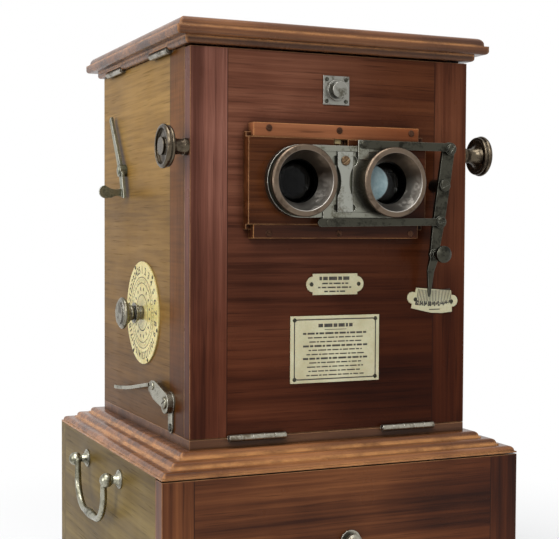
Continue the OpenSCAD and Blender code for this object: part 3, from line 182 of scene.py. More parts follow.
def wood(name, grain, tones, polish=0.34, stiles=None, seams=(), ripple=0.0,
         edge_wear_and_highlight=(0.42, 0.22, 0.10), painted_shading=(), sheen=0.05, stile_tone_and_sheen=(1.0, 1.0, 1.0),
         nose=0.0011, gloss=0.13):
    """Polished wood: fibres, figure, pores, dark seams, painted shade in the corners, worn edges and
    a soft uneven polish.

    grain is the axis that the fibres follow and tones are its dark, middle and light colours.
    stiles is (axis, low, high, grain outside) for a panel with upright ends, seams lists glue lines
    as (axis, place), and shades lists stretches of painted shade, where less light falls, as (axis,
    start, full, colour).
    wear is the colour of worn edges, which on the round noses of the plinth and lid is also a painted
    highlight, nose their width and polish the mean roughness. stile_tone_and_sheen multiplies the
    colour of the stiles, and on the door it carries a painted sheen."""
    paint, tree, surface = blank(name)
    where = shader(tree, "TexCoord").outputs["Object"]
    apart = shader(tree, "SeparateXYZ", Vector=where).outputs
    layers = []
    for layer in range(3):
        size = squeeze(tree, where, fibre_sizes[grain][layer])
        if stiles:
            axis, low, high, turned = stiles
            above = calc(tree, "GREATER_THAN", apart[axis], high)
            below = calc(tree, "LESS_THAN", apart[axis], low)
            outside = calc(tree, "MAXIMUM", above, below)
            other = squeeze(tree, where, fibre_sizes[turned][layer])
            size = shader(tree, "Mix", {"data_type": "VECTOR"}, i0=outside, i4=size,
                          i5=other).outputs[1]
        layers.append(size)
    fibres = spots(tree, layers[0], 1.0, 4.0, 0.65)
    figure = spots(tree, layers[1], 1.0, 5.0, 0.6, 0.35)
    pores = spread(tree, spots(tree, layers[2], 1.0, 2.0, 0.5), 0.60, 0.72)
    cloud = spots(tree, where, 11.0, 3.0, 0.5)
    figure_share, fibre_share, cloud_share, tone_range = 0.5, 0.36, 0.3, 0.11
    tone = calc(tree, "MULTIPLY", figure, figure_share)
    tone = calc(tree, "ADD", tone, calc(tree, "MULTIPLY", fibres, fibre_share))
    tone = calc(tree, "ADD", tone, calc(tree, "MULTIPLY", cloud, cloud_share))
    if ripple:
        waves = spots(tree, squeeze(tree, where, (70, 22, 420)), 1.0, 2.0, 0.5, 0.2)
        waves = calc(tree, "MULTIPLY", calc(tree, "SUBTRACT", waves, 0.5), ripple)
        tone = calc(tree, "ADD", tone, waves)
    middle = (figure_share + fibre_share + cloud_share) / 2
    tone = spread(tree, tone, middle - tone_range, middle + tone_range)
    ramp = shader(tree, "ValToRGB", Fac=tone)
    ramp.color_ramp.elements[0].color = (*tones[0], 1.0)
    ramp.color_ramp.elements[1].color = (*tones[2], 1.0)
    ramp.color_ramp.elements.new(0.5).color = (*tones[1], 1.0)
    colour = ramp.outputs["Color"]
    pore_dark = tuple(c * 0.35 for c in tones[0])
    crack_dark = tuple(c * 0.25 for c in tones[0])
    corner_shade_dark = tuple(c * 0.3 for c in tones[0])
    colour = tint(tree, calc(tree, "MULTIPLY", pores, 0.45), colour, pore_dark)
    # The stiles' colour is multiplied by a tint: their own tone, and on the door a painted purplish
    # sheen.
    if stiles:
        colour = tint(tree, outside, colour, stile_tone_and_sheen, "MULTIPLY")
    # Painted shade: darker stretches along an axis, where less light falls.
    for axis, start, end, dark in painted_shading:
        fade = shader(tree, "MapRange", {"interpolation_type": "SMOOTHSTEP"}, Value=apart[axis],
                      From_Min=start, From_Max=end).outputs["Result"]
        colour = tint(tree, fade, colour, dark, "MULTIPLY")
    for axis, line in seams:
        off = calc(tree, "ABSOLUTE", calc(tree, "SUBTRACT", apart[axis], line))
        crack = spread(tree, off, 0.0005, 0.00015)
        colour = tint(tree, calc(tree, "MULTIPLY", crack, 0.75), colour, crack_dark)
    # Painted shade: the colour darkens in corners and between parts, where less light reaches.
    corner = shader(tree, "AmbientOcclusion", {"samples": 6}, Distance=0.009).outputs["AO"]
    grime_and_shade = spread(tree, corner, 0.85, 0.35)
    colour = tint(tree, calc(tree, "MULTIPLY", grime_and_shade, 0.75), colour, corner_shade_dark)
    # Lighter edges: real rubbing, and on the round noses of the plinth and lid also a painted
    # highlight.
    edge, soft = edge_glow(tree, nose, 0.01, 0.16)
    patchy = spread(tree, spots(tree, where, 70.0, 4.0, 0.6), 0.2, 0.58)
    worn = calc(tree, "MULTIPLY", calc(tree, "MULTIPLY", edge, patchy), 0.7)
    colour = tint(tree, worn, colour, edge_wear_and_highlight)
    tree.links.new(colour, surface.inputs["Base Color"])
    uneven = spots(tree, where, 26.0, 4.0, 0.6)
    dull = calc(tree, "ADD", calc(tree, "MULTIPLY", uneven, 0.22), polish - 0.11)
    dull = calc(tree, "ADD", dull, calc(tree, "MULTIPLY", pores, 0.12))
    tree.links.new(dull, surface.inputs["Roughness"])
    surface.inputs["Specular IOR Level"].default_value = gloss
    surface.inputs["Coat Weight"].default_value = sheen
    surface.inputs["Coat Roughness"].default_value = 0.16
    relief = calc(tree, "SUBTRACT", calc(tree, "MULTIPLY", fibres, 0.5), pores)
    bump = shader(tree, "Bump", Strength=0.25, Distance=0.00008, Height=relief, Normal=soft)
    tree.links.new(bump.outputs[0], surface.inputs["Normal"])
    return paint


def finish(paint, *names):
    """Gives CAD nodes a material."""
    for name in names:
        nodes[name].data.materials.clear()
        nodes[name].data.materials.append(paint)


base_stile = 0.1106
base_side_tones = ((0.055, 0.032, 0.007), (0.100, 0.063, 0.015), (0.155, 0.104, 0.028))
base_wood = wood("base_walnut", "Y", base_side_tones, 0.4, stiles=("Y", -1.0, base_stile, "X"),
                 seams=(("Z", 0.1654), ("Y", base_stile)), gloss=0.07, sheen=0.03)
inner_tones = ((0.23, 0.14, 0.065), (0.33, 0.215, 0.11), (0.42, 0.29, 0.16))
plain_wood = wood("inner_whitewood", "X", inner_tones, 0.6, sheen=0.0, edge_wear_and_highlight=(0.45, 0.33, 0.2))
finish(base_wood, "base_walls", "base_floor")
finish(plain_wood, "base_shelves")

# Spare magazines: two grooved boxes of thin beech that hold slides on edge. They stand side by
# side on the floor of the base, and the shelves above them are free.
magazine_tones = ((0.20, 0.115, 0.05), (0.30, 0.18, 0.085), (0.38, 0.245, 0.125))
magazine_wood = wood("magazine_beech", "Y", magazine_tones, 0.5, sheen=0.0, edge_wear_and_highlight=(0.42, 0.28, 0.15))
finish(magazine_wood, "spare_magazines")

# Moulded top of the base: three steps of polished walnut, each worked to a round nose and mitred at
# the corners. The noses are a lighter orange: a painted highlight where the light from above catches
# them, over some rubbing.
moulding_tones = ((0.042, 0.013, 0.005), (0.125, 0.046, 0.017), (0.27, 0.110, 0.041))
plinth_wood = wood("plinth_walnut", "X", moulding_tones, 0.26, edge_wear_and_highlight=(0.74, 0.34, 0.12), sheen=0.1,
                   nose=0.0030, gloss=0.18)
finish(plinth_wood, "plinth_top")

# Flap of the base: a wide mahogany board with upright ends glued on against warping. It
# drops forward on two brass-pinned hinges and is pulled by a turned knob.
flap_stile = 0.106
flap_tones = ((0.030, 0.0080, 0.0028), (0.085, 0.026, 0.0085), (0.165, 0.057, 0.019))
# Painted shade darkens the flap towards the right.
flap_wood = wood("flap_mahogany", "X", flap_tones, 0.3, stiles=("X", -flap_stile, flap_stile, "Z"),
                 seams=(("X", -flap_stile), ("X", flap_stile)), gloss=0.1,
                 painted_shading=(("X", -0.02, 0.12, (0.55, 0.42, 0.38)),))
finish(flap_wood, "base_flap")


# Fittings of the base: two butt hinges and a small turned knob, brass once nickelled and now
# brown-green in the hollows and bright where fingers reach. Three screws hold each leaf.
def metal(name, bright, dark, rough=0.3, age=0.5, rubbed_and_reflection=(0.66, 0.64, 0.58), grime_and_shade_amount=0.8):
    """Old metal: tarnish in patches, soiling and painted shade in the corners, worn edges and fine
    scratches.

    bright and dark are clean and tarnished metal, age is how much of it is tarnished, and
    rubbed is the colour of its edges."""
    paint, tree, surface = blank(name)
    where = shader(tree, "TexCoord").outputs["Object"]
    patches = spots(tree, where, 90.0, 5.0, 0.62, 0.25)
    grains = spots(tree, where, 720.0, 4.0, 0.6)
    mixed = calc(tree, "ADD", calc(tree, "MULTIPLY", patches, 0.7),
                 calc(tree, "MULTIPLY", grains, 0.3))
    tarnish = spread(tree, mixed, 0.60 - 0.22 * age, 0.66 - 0.12 * age)
    colour = tint(tree, tarnish, bright, dark)
    # Painted shade with soiling: the colour darkens in the corners, which are also made rougher.
    corner = shader(tree, "AmbientOcclusion", {"samples": 6}, Distance=0.004).outputs["AO"]
    grime_and_shade = calc(tree, "MULTIPLY", spread(tree, corner, 0.8, 0.3), grime_and_shade_amount)
    colour = tint(tree, grime_and_shade, colour, tuple(c * 0.25 for c in dark))
    edge, soft = edge_glow(tree, 0.0004, 0.01, 0.2)
    colour = tint(tree, calc(tree, "MULTIPLY", edge, 0.7), colour, rubbed_and_reflection)
    tree.links.new(colour, surface.inputs["Base Color"])
    surface.inputs["Metallic"].default_value = 1.0
    dull = calc(tree, "ADD", calc(tree, "MULTIPLY", tarnish, 0.18), rough)
    dull = calc(tree, "ADD", dull, calc(tree, "MULTIPLY", grime_and_shade, 0.25))
    tree.links.new(dull, surface.inputs["Roughness"])
    lines = spots(tree, squeeze(tree, where, (2600, 300, 300)), 1.0, 2.0, 0.5, 0.4)
    relief = calc(tree, "ADD", calc(tree, "MULTIPLY", grains, 0.6),
                  calc(tree, "MULTIPLY", lines, 0.4))
    bump = shader(tree, "Bump", Strength=0.16, Distance=0.00005, Height=relief, Normal=soft)
    tree.links.new(bump.outputs[0], surface.inputs["Normal"])
    return paint


cabinet_back_set = 1.6
base_height = 178.0


def cab(x, y, z):
    """A place given in millimetres from the middle of the cabinet's underside."""
    return Vector((x, y - cabinet_back_set, z + base_height)) / 1000.0


def turned(point, facing, turn=0.0):
    """Where a part drawn along +Z goes: at point, facing that way and turned about its axis."""
    aim = Vector(facing).to_track_quat("Z", "Y").to_matrix().to_4x4()
    return Matrix.Translation(point) @ aim @ Matrix.Rotation(turn, 4, "Z")


def only(*chosen):
    """Selects these objects alone and makes the first one active."""
    bpy.ops.object.select_all(action="DESELECT")
    for each in chosen:
        each.select_set(True)
    bpy.context.view_layer.objects.active = chosen[0]


def place_copies(first, name, places, paint, body):
    """Copies a small part to each place, bakes the places in and joins the copies as one piece."""
    copies = []
    for where in places:
        only(first)
        bpy.ops.object.duplicate()
        copy = bpy.context.object
        copy.matrix_world = where
        copies.append(copy)
    bpy.data.objects.remove(first, do_unlink=True)
    only(*copies)
    bpy.ops.object.transform_apply(location=True, rotation=True, scale=True)
    if len(copies) > 1:
        bpy.ops.object.join()
    piece = copies[0]
    piece.name = name
    piece.data.materials.clear()
    piece.data.materials.append(paint)
    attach(piece, body)


def slotted_head(radius, height):
    """A screw head drawn along +Z: a turned disc with its rim rounded and a sawn slot."""
    bpy.ops.object.select_all(action="DESELECT")
    sunk = 0.0006
    bpy.ops.mesh.primitive_cylinder_add(vertices=28, radius=radius, depth=height + sunk,
                                        location=(0.0, 0.0, (height - sunk) / 2))
    head = bpy.context.object
    bpy.ops.object.transform_apply(location=True, rotation=True, scale=True)
    bpy.ops.object.mode_set(mode="EDIT")
    bpy.ops.mesh.select_all(action="DESELECT")
    shape = bmesh.from_edit_mesh(head.data)
    for face in shape.faces:
        face.select_set(face.normal.z > 0.9)
    bmesh.update_edit_mesh(head.data)
    bpy.ops.mesh.bevel(offset=min(height * 0.6, radius * 0.4), segments=3, affect="EDGES")
    bpy.ops.object.mode_set(mode="OBJECT")
    bpy.ops.mesh.primitive_cube_add(size=1.0, location=(0.0, 0.0, height))
    saw = bpy.context.object
    saw.scale = (radius * 2.6, radius * 0.32, height * 1.1)
    cut = head.modifiers.new("slot", "BOOLEAN")
    cut.object = saw
    cut.operation = "DIFFERENCE"
    only(head)
    bpy.ops.object.modifier_apply(modifier=cut.name)
    bpy.data.objects.remove(saw, do_unlink=True)
    only(head)
    bpy.ops.object.shade_smooth_by_angle(angle=math.radians(35))
    return head


nickel = metal("aged_nickel", (0.33, 0.31, 0.255), (0.12, 0.10, 0.07), 0.3, 0.55)
brass = metal("aged_brass", (0.48, 0.36, 0.16), (0.20, 0.14, 0.06), 0.3, 0.5, (0.66, 0.53, 0.28))
steel = metal("blued_steel", (0.052, 0.050, 0.038), (0.018, 0.017, 0.013), 0.34, 0.5,
              (0.24, 0.24, 0.20))
finish(nickel, "flap_fittings", "fixed_hinges")

# Drop handles: a nickelled ball post on each side of the bail, screwed through the base wall,
# and a bail of drawn wire that is thicker across the hand.
ball_metal = metal("handle_nickel", (0.33, 0.32, 0.25), (0.12, 0.115, 0.08), 0.24, 0.55)
finish(ball_metal, "handle_posts", "left_bail", "right_bail")

# Case of the cabinet: walnut boards, glued and screwed. The left side stood in the light for years
# and has gone tan, and painted shade darkens it towards the bottom. Each side has an upright stile at
# its front edge, and a fine ripple crosses the figure.
side_stile = -0.0596
faded_tones = ((0.142, 0.074, 0.015), (0.204, 0.110, 0.024), (0.268, 0.151, 0.038))
left_wood = wood("faded_walnut", "Y", faded_tones, 0.36, stiles=("Y", side_stile, 1.0, "Z"),
                 seams=(("Y", side_stile),), ripple=0.25, edge_wear_and_highlight=(0.42, 0.25, 0.12),
                 painted_shading=(("Z", 0.41, 0.30, (0.74, 0.72, 0.70)),
                         ("Z", 0.29, 0.17, (0.50, 0.38, 0.30))),
                 stile_tone_and_sheen=(0.62, 0.40, 0.26), gloss=0.05, sheen=0.03)
finish(left_wood, "left_wall")
right_tones = ((0.045, 0.018, 0.009), (0.105, 0.045, 0.022), (0.18, 0.085, 0.040))
right_wood = wood("right_walnut", "Y", right_tones, 0.34, stiles=("Y", side_stile, 1.0, "Z"),
                  seams=(("Y", side_stile),), ripple=0.15)
cross_wood = wood("cross_walnut", "X", right_tones, 0.36)
finish(right_wood, "right_wall")
finish(cross_wood, "back_wall", "cabinet_floor", "front_rail")

# Inside of the cabinet: plain runners and the carriage that slides on them under the lenses,
# the grooved beech magazine on it, a blackened gate that holds the slide in view, and a brass
# guide for the lifting blade and a brass arm on the title lever's shaft.
brass_inside = metal("guide_brass", (0.42, 0.33, 0.17), (0.22, 0.16, 0.08), 0.36, 0.4,
                     (0.6, 0.5, 0.3))
finish(plain_wood, "runners", "carriage")
finish(magazine_wood, "magazine")
finish(brass_inside, "lift_guide", "title_arm")
black_tones = ((0.008, 0.007, 0.006), (0.014, 0.012, 0.010), (0.022, 0.019, 0.016))
black_wood = wood("blackened_gate", "X", black_tones, 0.6, sheen=0.0, edge_wear_and_highlight=(0.09, 0.07, 0.05))
finish(black_wood, "slide_gate")

# Glass slides: two plates bound at the edge with black paper tape, with a brownish silver
# image between them. They stand in the slots, and one more is held in the gate.
def slide_glass(name, clear):
    paint, tree, surface = blank(name)
    where = shader(tree, "TexCoord").outputs["Object"]
    side = shader(tree, "SeparateXYZ", Vector=where).outputs["X"]
    half_length = 0.0535
    from_edge = calc(tree, "SUBTRACT", half_length, calc(tree, "ABSOLUTE", side))
    tape = spread(tree, from_edge, 0.0042, 0.0038)
    middle_bar = spread(tree, calc(tree, "ABSOLUTE", side), 0.0065, 0.0060)
    masked = calc(tree, "MAXIMUM", tape, middle_bar)
    image = spots(tree, where, 45.0, 5.0, 0.6)
    tone = tint(tree, spread(tree, image, 0.35, 0.65), (0.10, 0.075, 0.05), (0.62, 0.55, 0.44))
    tree.links.new(tint(tree, masked, tone, (0.012, 0.011, 0.010)), surface.inputs["Base Color"])
    tree.links.new(calc(tree, "MULTIPLY", calc(tree, "SUBTRACT", 1.0, masked), clear),
                   surface.inputs["Transmission Weight"])
    tree.links.new(spread(tree, masked, 0.10, 0.7), surface.inputs["Roughness"])
    return paint


finish(slide_glass("bound_slide_glass", 0.75), "glass_slides")
# The slide in the gate lets little light through, so that the view through the lenses stays dark:
# painted shade.
finish(slide_glass("dark_slide_glass", 0.15), "viewed_slide")

# Rear window: a pane of ground glass lets light in behind the slide. It is bedded in a rebate
# of the back and held by a mitred walnut bead with small nails.
glass_paint, tree, surface = blank("ground_glass")
# The pane is grey and lets little light through, so that the inside stays dark: painted shade.
surface.inputs["Base Color"].default_value = (0.50, 0.56, 0.58, 1.0)
surface.inputs["Transmission Weight"].default_value = 0.06
where = shader(tree, "TexCoord").outputs["Object"]
grit = spots(tree, where, 1500.0, 3.0, 0.6)
tree.links.new(spread(tree, grit, -0.6, 1.6), surface.inputs["Roughness"])
bump = shader(tree, "Bump", Strength=0.5, Distance=0.00005, Height=grit).outputs[0]
tree.links.new(bump, surface.inputs["Normal"])
finish(glass_paint, "ground_glass")
finish(cross_wood, "glass_bead")


def nail_head(radius, height):
    """A driven nail's domed head drawn along +Z: the top of a ball, flattened."""
    bpy.ops.object.select_all(action="DESELECT")
    bpy.ops.mesh.primitive_uv_sphere_add(segments=16, ring_count=10, radius=radius)
    head = bpy.context.object
    bpy.ops.object.mode_set(mode="EDIT")
    bpy.ops.mesh.select_all(action="SELECT")
    bpy.ops.mesh.bisect(plane_co=(0, 0, 0), plane_no=(0, 0, 1), clear_inner=True, use_fill=True)
    bpy.ops.mesh.select_all(action="SELECT")
    bpy.ops.transform.resize(value=(1.0, 1.0, height / radius), center_override=(0.0, 0.0, 0.0))
    bpy.ops.object.mode_set(mode="OBJECT")
    bpy.ops.object.shade_smooth_by_angle(angle=math.radians(40))
    return head


bead_face = 95.55
bead_nails = []
for x in (-54, -18, 18, 54):
    for z in (135.2, 201.8):
        bead_nails.append(turned(cab(x, bead_face, z), (0, 1, 0)))
for x in (-60.4, 60.4):
    bead_nails.append(turned(cab(x, bead_face, 168.5), (0, 1, 0)))
place_copies(nail_head(0.0009, 0.0004), "bead_nails", bead_nails, steel, "cabinet")

# Lid: a moulded walnut bed, a wide board and a top board with a round nose, glued in steps.
# It turns on two small nickelled hinges at the left.
lid_tones = ((0.042, 0.014, 0.006), (0.115, 0.044, 0.017), (0.23, 0.098, 0.038))
# The round noses carry a painted orange highlight from the light above, over some rubbing.
lid_wood = wood("lid_walnut", "X", lid_tones, 0.26, edge_wear_and_highlight=(0.58, 0.26, 0.09), sheen=0.12,
                nose=0.0030, gloss=0.2)
finish(lid_wood, "lid")
finish(nickel, "lid_hinge_leaves", "door_hinge_leaves")

# Front door: a mahogany panel with upright stiles, French-polished and darkened with age. It drops on
# two hinges at its foot. A purplish sheen is painted into the colour of the stiles, and painted shade
# darkens the door towards the right and the bottom.
door_stile = 0.075
door_face = -96.5
door_tones = ((0.055, 0.018, 0.0095), (0.122, 0.044, 0.0245), (0.205, 0.083, 0.048))
door_wood = wood("door_mahogany", "X", door_tones, 0.3, stiles=("X", -door_stile, door_stile, "Z"),
                 seams=(("X", -door_stile), ("X", door_stile)), stile_tone_and_sheen=(1.38, 1.50, 1.85),
                 painted_shading=(("X", -0.055, 0.055, (0.45, 0.34, 0.22)),
                         ("Z", 0.39, 0.22, (0.46, 0.32, 0.22))), gloss=0.05, sheen=0.02)
finish(door_wood, "door_panel")

# Door latch: a square nickelled plate with a collar, held by four slotted screws, and a push
# button that tips a steel hook behind the door.
latch_metal = metal("latch_nickel", (0.255, 0.25, 0.22), (0.10, 0.092, 0.07), 0.3, 0.5)
finish(latch_metal, "latch_plate", "latch_button")
finish(steel, "latch_hook")
corners = []
for x in (-7, 7):
    for z in (-7, 7):
        corners.append(turned(cab(0.5 + x, door_face, 228.05 + z), (0, -1, 0), x * 0.3 + z))
place_copies(slotted_head(0.0013, 0.0005), "latch_screws", corners, steel, "door")

# Ivory plates: thin celluloid sheets engraved and filled with black, nailed to the wood. They
# carry only rings, ticks and plain numbers, and short ruled lines where words would be.
def ivory(name, bright, dark):
    """Yellowed celluloid with faint clouds, specks, soiled edges and painted shade in the corners."""
    paint, tree, surface = blank(name)
    where = shader(tree, "TexCoord").outputs["Object"]
    cloud = spots(tree, where, 55.0, 4.0, 0.6)
    specks = spread(tree, spots(tree, where, 900.0, 3.0, 0.6), 0.62, 0.7)
    colour = tint(tree, spread(tree, cloud, 0.35, 0.68), bright, dark)
    # Painted shade with specks: the colour darkens in the corners, where the sheet meets the wood and
    # the nails.
    corner = shader(tree, "AmbientOcclusion", {"samples": 6}, Distance=0.003).outputs["AO"]
    grime_and_shade = spread(tree, corner, 0.8, 0.3)
    stain_and_shade = calc(tree, "MAXIMUM", calc(tree, "MULTIPLY", grime_and_shade, 0.75),
                 calc(tree, "MULTIPLY", specks, 0.3))
    colour = tint(tree, stain_and_shade, colour, (0.22, 0.15, 0.07))
    edge, soft = edge_glow(tree, 0.0004, 0.01, 0.2)
    colour = tint(tree, calc(tree, "MULTIPLY", edge, 0.25), colour, (0.42, 0.33, 0.2))
    tree.links.new(colour, surface.inputs["Base Color"])
    tree.links.new(spread(tree, cloud, 0.2, 1.3), surface.inputs["Roughness"])
    surface.inputs["Subsurface Weight"].default_value = 0.08
    surface.inputs["Subsurface Scale"].default_value = 0.001
    bump = shader(tree, "Bump", Strength=0.12, Distance=0.00005, Height=cloud, Normal=soft)
    tree.links.new(bump.outputs[0], surface.inputs["Normal"])
    return paint


def stroke():
    """One engraved and filled line drawn on the XY plane, a millimetre long and wide."""
    bpy.ops.object.select_all(action="DESELECT")
    bpy.ops.mesh.primitive_plane_add(size=0.001)
    line = bpy.context.object
    bpy.ops.object.mode_set(mode="EDIT")
    bpy.ops.mesh.select_all(action="SELECT")
    bpy.ops.mesh.extrude_region_move(TRANSFORM_OT_translate={"value": (0.0, 0.0, 0.001)})
    bpy.ops.object.mode_set(mode="OBJECT")
    return line


def flat_on(point, across, out):
    """Where a mark drawn on XY goes: +X along across, +Z along out."""
    x = Vector(across).normalized()
    z = Vector(out).normalized()
    y = z.cross(x)
    spin = Matrix((x, y, z)).transposed().to_4x4()
    return Matrix.Translation(point) @ spin


def numerals(name, marks, size, paint, body, thick):
    """Numbers cut as type, turned into a mesh, set in place and joined as one piece."""
    made = []
    for word, where in marks:
        bpy.ops.object.select_all(action="DESELECT")
        bpy.ops.object.text_add()
        type_piece = bpy.context.object
        type_piece.data.body = word
        type_piece.data.size = size
        type_piece.data.align_x = "CENTER"
        type_piece.data.align_y = "CENTER"
        type_piece.data.extrude = 0.00002
        type_piece.data.offset = thick
        type_piece.data.resolution_u = 3
        bpy.ops.object.convert(target="MESH")
        type_piece = bpy.context.object
        type_piece.matrix_world = where
        made.append(type_piece)
    only(*made)
    bpy.ops.object.transform_apply(location=True, rotation=True, scale=True)
    bpy.ops.object.join()
    piece = made[0]
    piece.name = name
    piece.data.materials.clear()
    piece.data.materials.append(paint)
    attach(piece, body)


ivory_paint = ivory("aged_ivory", (0.52, 0.49, 0.32), (0.41, 0.37, 0.22))
finish(ivory_paint, "front_plates")
finish(ivory("dial_ivory", (0.58, 0.50, 0.20), (0.44, 0.35, 0.115)), "dial_plate")
ink, tree, surface = blank("engraving_ink")
where = shader(tree, "TexCoord").outputs["Object"]
faint = spread(tree, spots(tree, where, 500.0, 3.0, 0.6), 0.35, 0.65)
faded = tint(tree, faint, (0.016, 0.014, 0.011), (0.06, 0.05, 0.035))
tree.links.new(faded, surface.inputs["Base Color"])
surface.inputs["Roughness"].default_value = 0.7

# Dial: an ivory disc on the left side with one number for each slot of the magazine between
# two engraved rings, ticks inside them and a smaller ring round the knob. The filling of an
# engraved line stands out by fill, in millimetres, and six nails hold the disc to the wall.
dial_face = -101.0
dial_centre = (-2.0, 80.0)
slots = 25
fill = 0.03


def on_dial(radius, angle):
    """A place on the dial's face and its tangent: angle runs clockwise from the top."""
    y = dial_centre[0] + radius * math.sin(-angle)
    z = dial_centre[1] + radius * math.cos(angle)
    return cab(dial_face, y, z), Vector((0.0, -math.cos(angle), -math.sin(angle)))


def dial_line(radius, angle, length, width):
    """A filled line on the dial, length along its tangent and width across it."""
    spot, along = on_dial(radius, angle)
    return flat_on(spot, along, (-1, 0, 0)) @ Matrix.Diagonal((length, width, fill, 1.0))


dial_marks = []
for index in range(slots):
    angle = 2 * math.pi * index / slots
    spot, along = on_dial(29.3, angle)
    dial_marks.append((str(index + 1), flat_on(spot, along, (-1, 0, 0))))
numerals("dial_numbers", dial_marks, 0.0072, ink, "cabinet", 0.00012)
dial_lines = []
for index in range(2 * slots):
    radius, height = (22.9, 1.6) if index % 2 else (22.4, 2.6)
    dial_lines.append(dial_line(radius, math.pi * index / slots, 0.45, height))
for radius, width, count in ((24.6, 0.5, 72), (20.6, 0.5, 64), (12.4, 0.6, 48)):
    for index in range(count):
        length = 2 * math.pi * radius / count * 1.06
        dial_lines.append(dial_line(radius, 2 * math.pi * index / count, length, width))
for index in range(16):
    dial_lines.append(dial_line(16.5, 2 * math.pi * (index + 0.5) / 16, 1.5, 2.4))
place_copies(stroke(), "dial_rings", dial_lines, ink, "cabinet")
dial_nails = []
for degrees in (107, 42, -26, -86, -145, 159):
    spot, along = on_dial(34.0, math.radians(degrees))
    dial_nails.append(turned(spot, (-1, 0, 0)))
place_copies(nail_head(0.0013, 0.0005), "dial_nails", dial_nails, steel, "cabinet")

# Spacing scale: a fan of ticks struck from the lever's pivot, with the lens spacing in
# millimetres under them. Its sheet is the third ivory plate of the door.
pivot = (75.0, 167.5)


def on_fan(radius, degrees):
    """A place on the scale plate's face, degrees to the right of straight down from the pivot."""
    angle = math.radians(degrees)
    spot = cab(pivot[0] + radius * math.sin(angle), door_face, pivot[1] - radius * math.cos(angle))
    return spot, Vector((math.cos(angle), 0.0, math.sin(angle)))


def fan_line(radius, degrees, length, width):
    """A filled line on the scale plate, length along the fan's arc and width across it."""
    spot, along = on_fan(radius, degrees)
    return flat_on(spot, along, (0, -1, 0)) @ Matrix.Diagonal((length, width, fill, 1.0))


scale_lines = [fan_line(74.0, -9.6 + index * 0.9, 0.52, 7.6) for index in range(23)]
scale_lines.append(fan_line(83.2, 0.6, 8.5, 0.7))
place_copies(stroke(), "scale_ticks", scale_lines, ink, "door")
narrow = Matrix.Diagonal((0.72, 1, 1, 1))
scale_marks = []
for index in range(9):
    spot, along = on_fan(79.6, -9.2 + index * 2.35)
    scale_marks.append((str(52 + 2 * index), flat_on(spot, along, (0, -1, 0)) @ narrow))
numerals("scale_numbers", scale_marks, 0.0038, ink, "door", 0.00036)

# Name and instruction plates: two engraved sheets on the door. Rows of short dashes and a
# ruled border stand where the words were, with nothing to read. Round-headed nails hold these
# two sheets and the scale's.
name_x, name_z = 0.6, 102.4
sheet_x, sheet_z = 1.0, 60.2
scale_ears = [(60.9, 91.3), (89.2, 89.4)]
nail_places = scale_ears + [(name_x - 17.2, name_z), (name_x + 17.2, name_z)]
for x in (-29.5, 29.5):
    for z in (-19.2, 19.2):
        nail_places.append((sheet_x + x, sheet_z + z))
plate_nails = [turned(cab(x, door_face, z), (0, -1, 0)) for x, z in nail_places]
place_copies(nail_head(0.0014, 0.0005), "plate_nails", plate_nails, steel, "door")
ruled = []
widths = (4.2, 2.4, 5.2, 1.8, 3.4, 6.0, 2.8, 4.6, 1.6, 3.8)


def rule(x, z, length, width, along=(1, 0, 0)):
    """A filled line on the front of a plate."""
    spin = flat_on(cab(x, door_face, z), along, (0, -1, 0))
    ruled.append(spin @ Matrix.Diagonal((length, width, fill, 1.0)))


def dash_row(centre, z, span, height, seed):
    """A row of short dashes of changing length, centred like a line of print."""
    x = centre - span / 2
    step = seed
    while x < centre + span / 2 - 1.0:
        width = min(widths[step % 10], centre + span / 2 - x)
        rule(x + width / 2, z, width, height)
        x += width + 0.8
        step += 1


dash_row(name_x, name_z + 3.8, 23.0, 2.3, 3)
for row, span in enumerate((19.0, 25.0, 16.0)):
    dash_row(name_x, name_z + 0.5 - row * 2.6, span, 1.0, row * 3)
dash_row(sheet_x, sheet_z + 15.4, 25.0, 2.3, 4)
rule(sheet_x, sheet_z + 12.7, 16.0, 0.4)
for row in range(11):
    heading = row in (0, 3, 6)
    span = 47.0 if heading else 42.0 - (row * 7) % 5
    dash_row(sheet_x, sheet_z + 10.3 - row * 2.72, span, 1.25 if heading else 0.8, row * 3 + 1)
border, corner_radius = 0.8, 2.6
for side in (-1, 1):
    rule(sheet_x, sheet_z + side * 19.4, 54.0, border)
    rule(sheet_x + side * 29.6, sheet_z, border, 34.0)
    for lift in (-1, 1):
        for index in range(6):
            angle = math.pi / 2 * (index + 0.5) / 6
            x = sheet_x + side * (27.0 + corner_radius * math.cos(angle))
            z = sheet_z + lift * (16.8 + corner_radius * math.sin(angle))
            rule(x, z, border, border, (side * math.sin(angle), 0.0, -lift * math.cos(angle)))
place_copies(stroke(), "plate_rules", ruled, ink, "door")

# Lens board: a second mahogany board that stands off the door in two grooved rails, so that
# the rack can move it in and out. The rails are screwed to the door.
board_tones = ((0.020, 0.0052, 0.0018), (0.055, 0.0165, 0.0052), (0.105, 0.035, 0.012))
# Painted shade darkens the lens board towards the right.
board_wood = wood("board_mahogany", "X", board_tones, 0.28, gloss=0.06, sheen=0.02,
                  painted_shading=(("X", -0.03, 0.06, (0.6, 0.5, 0.5)),))
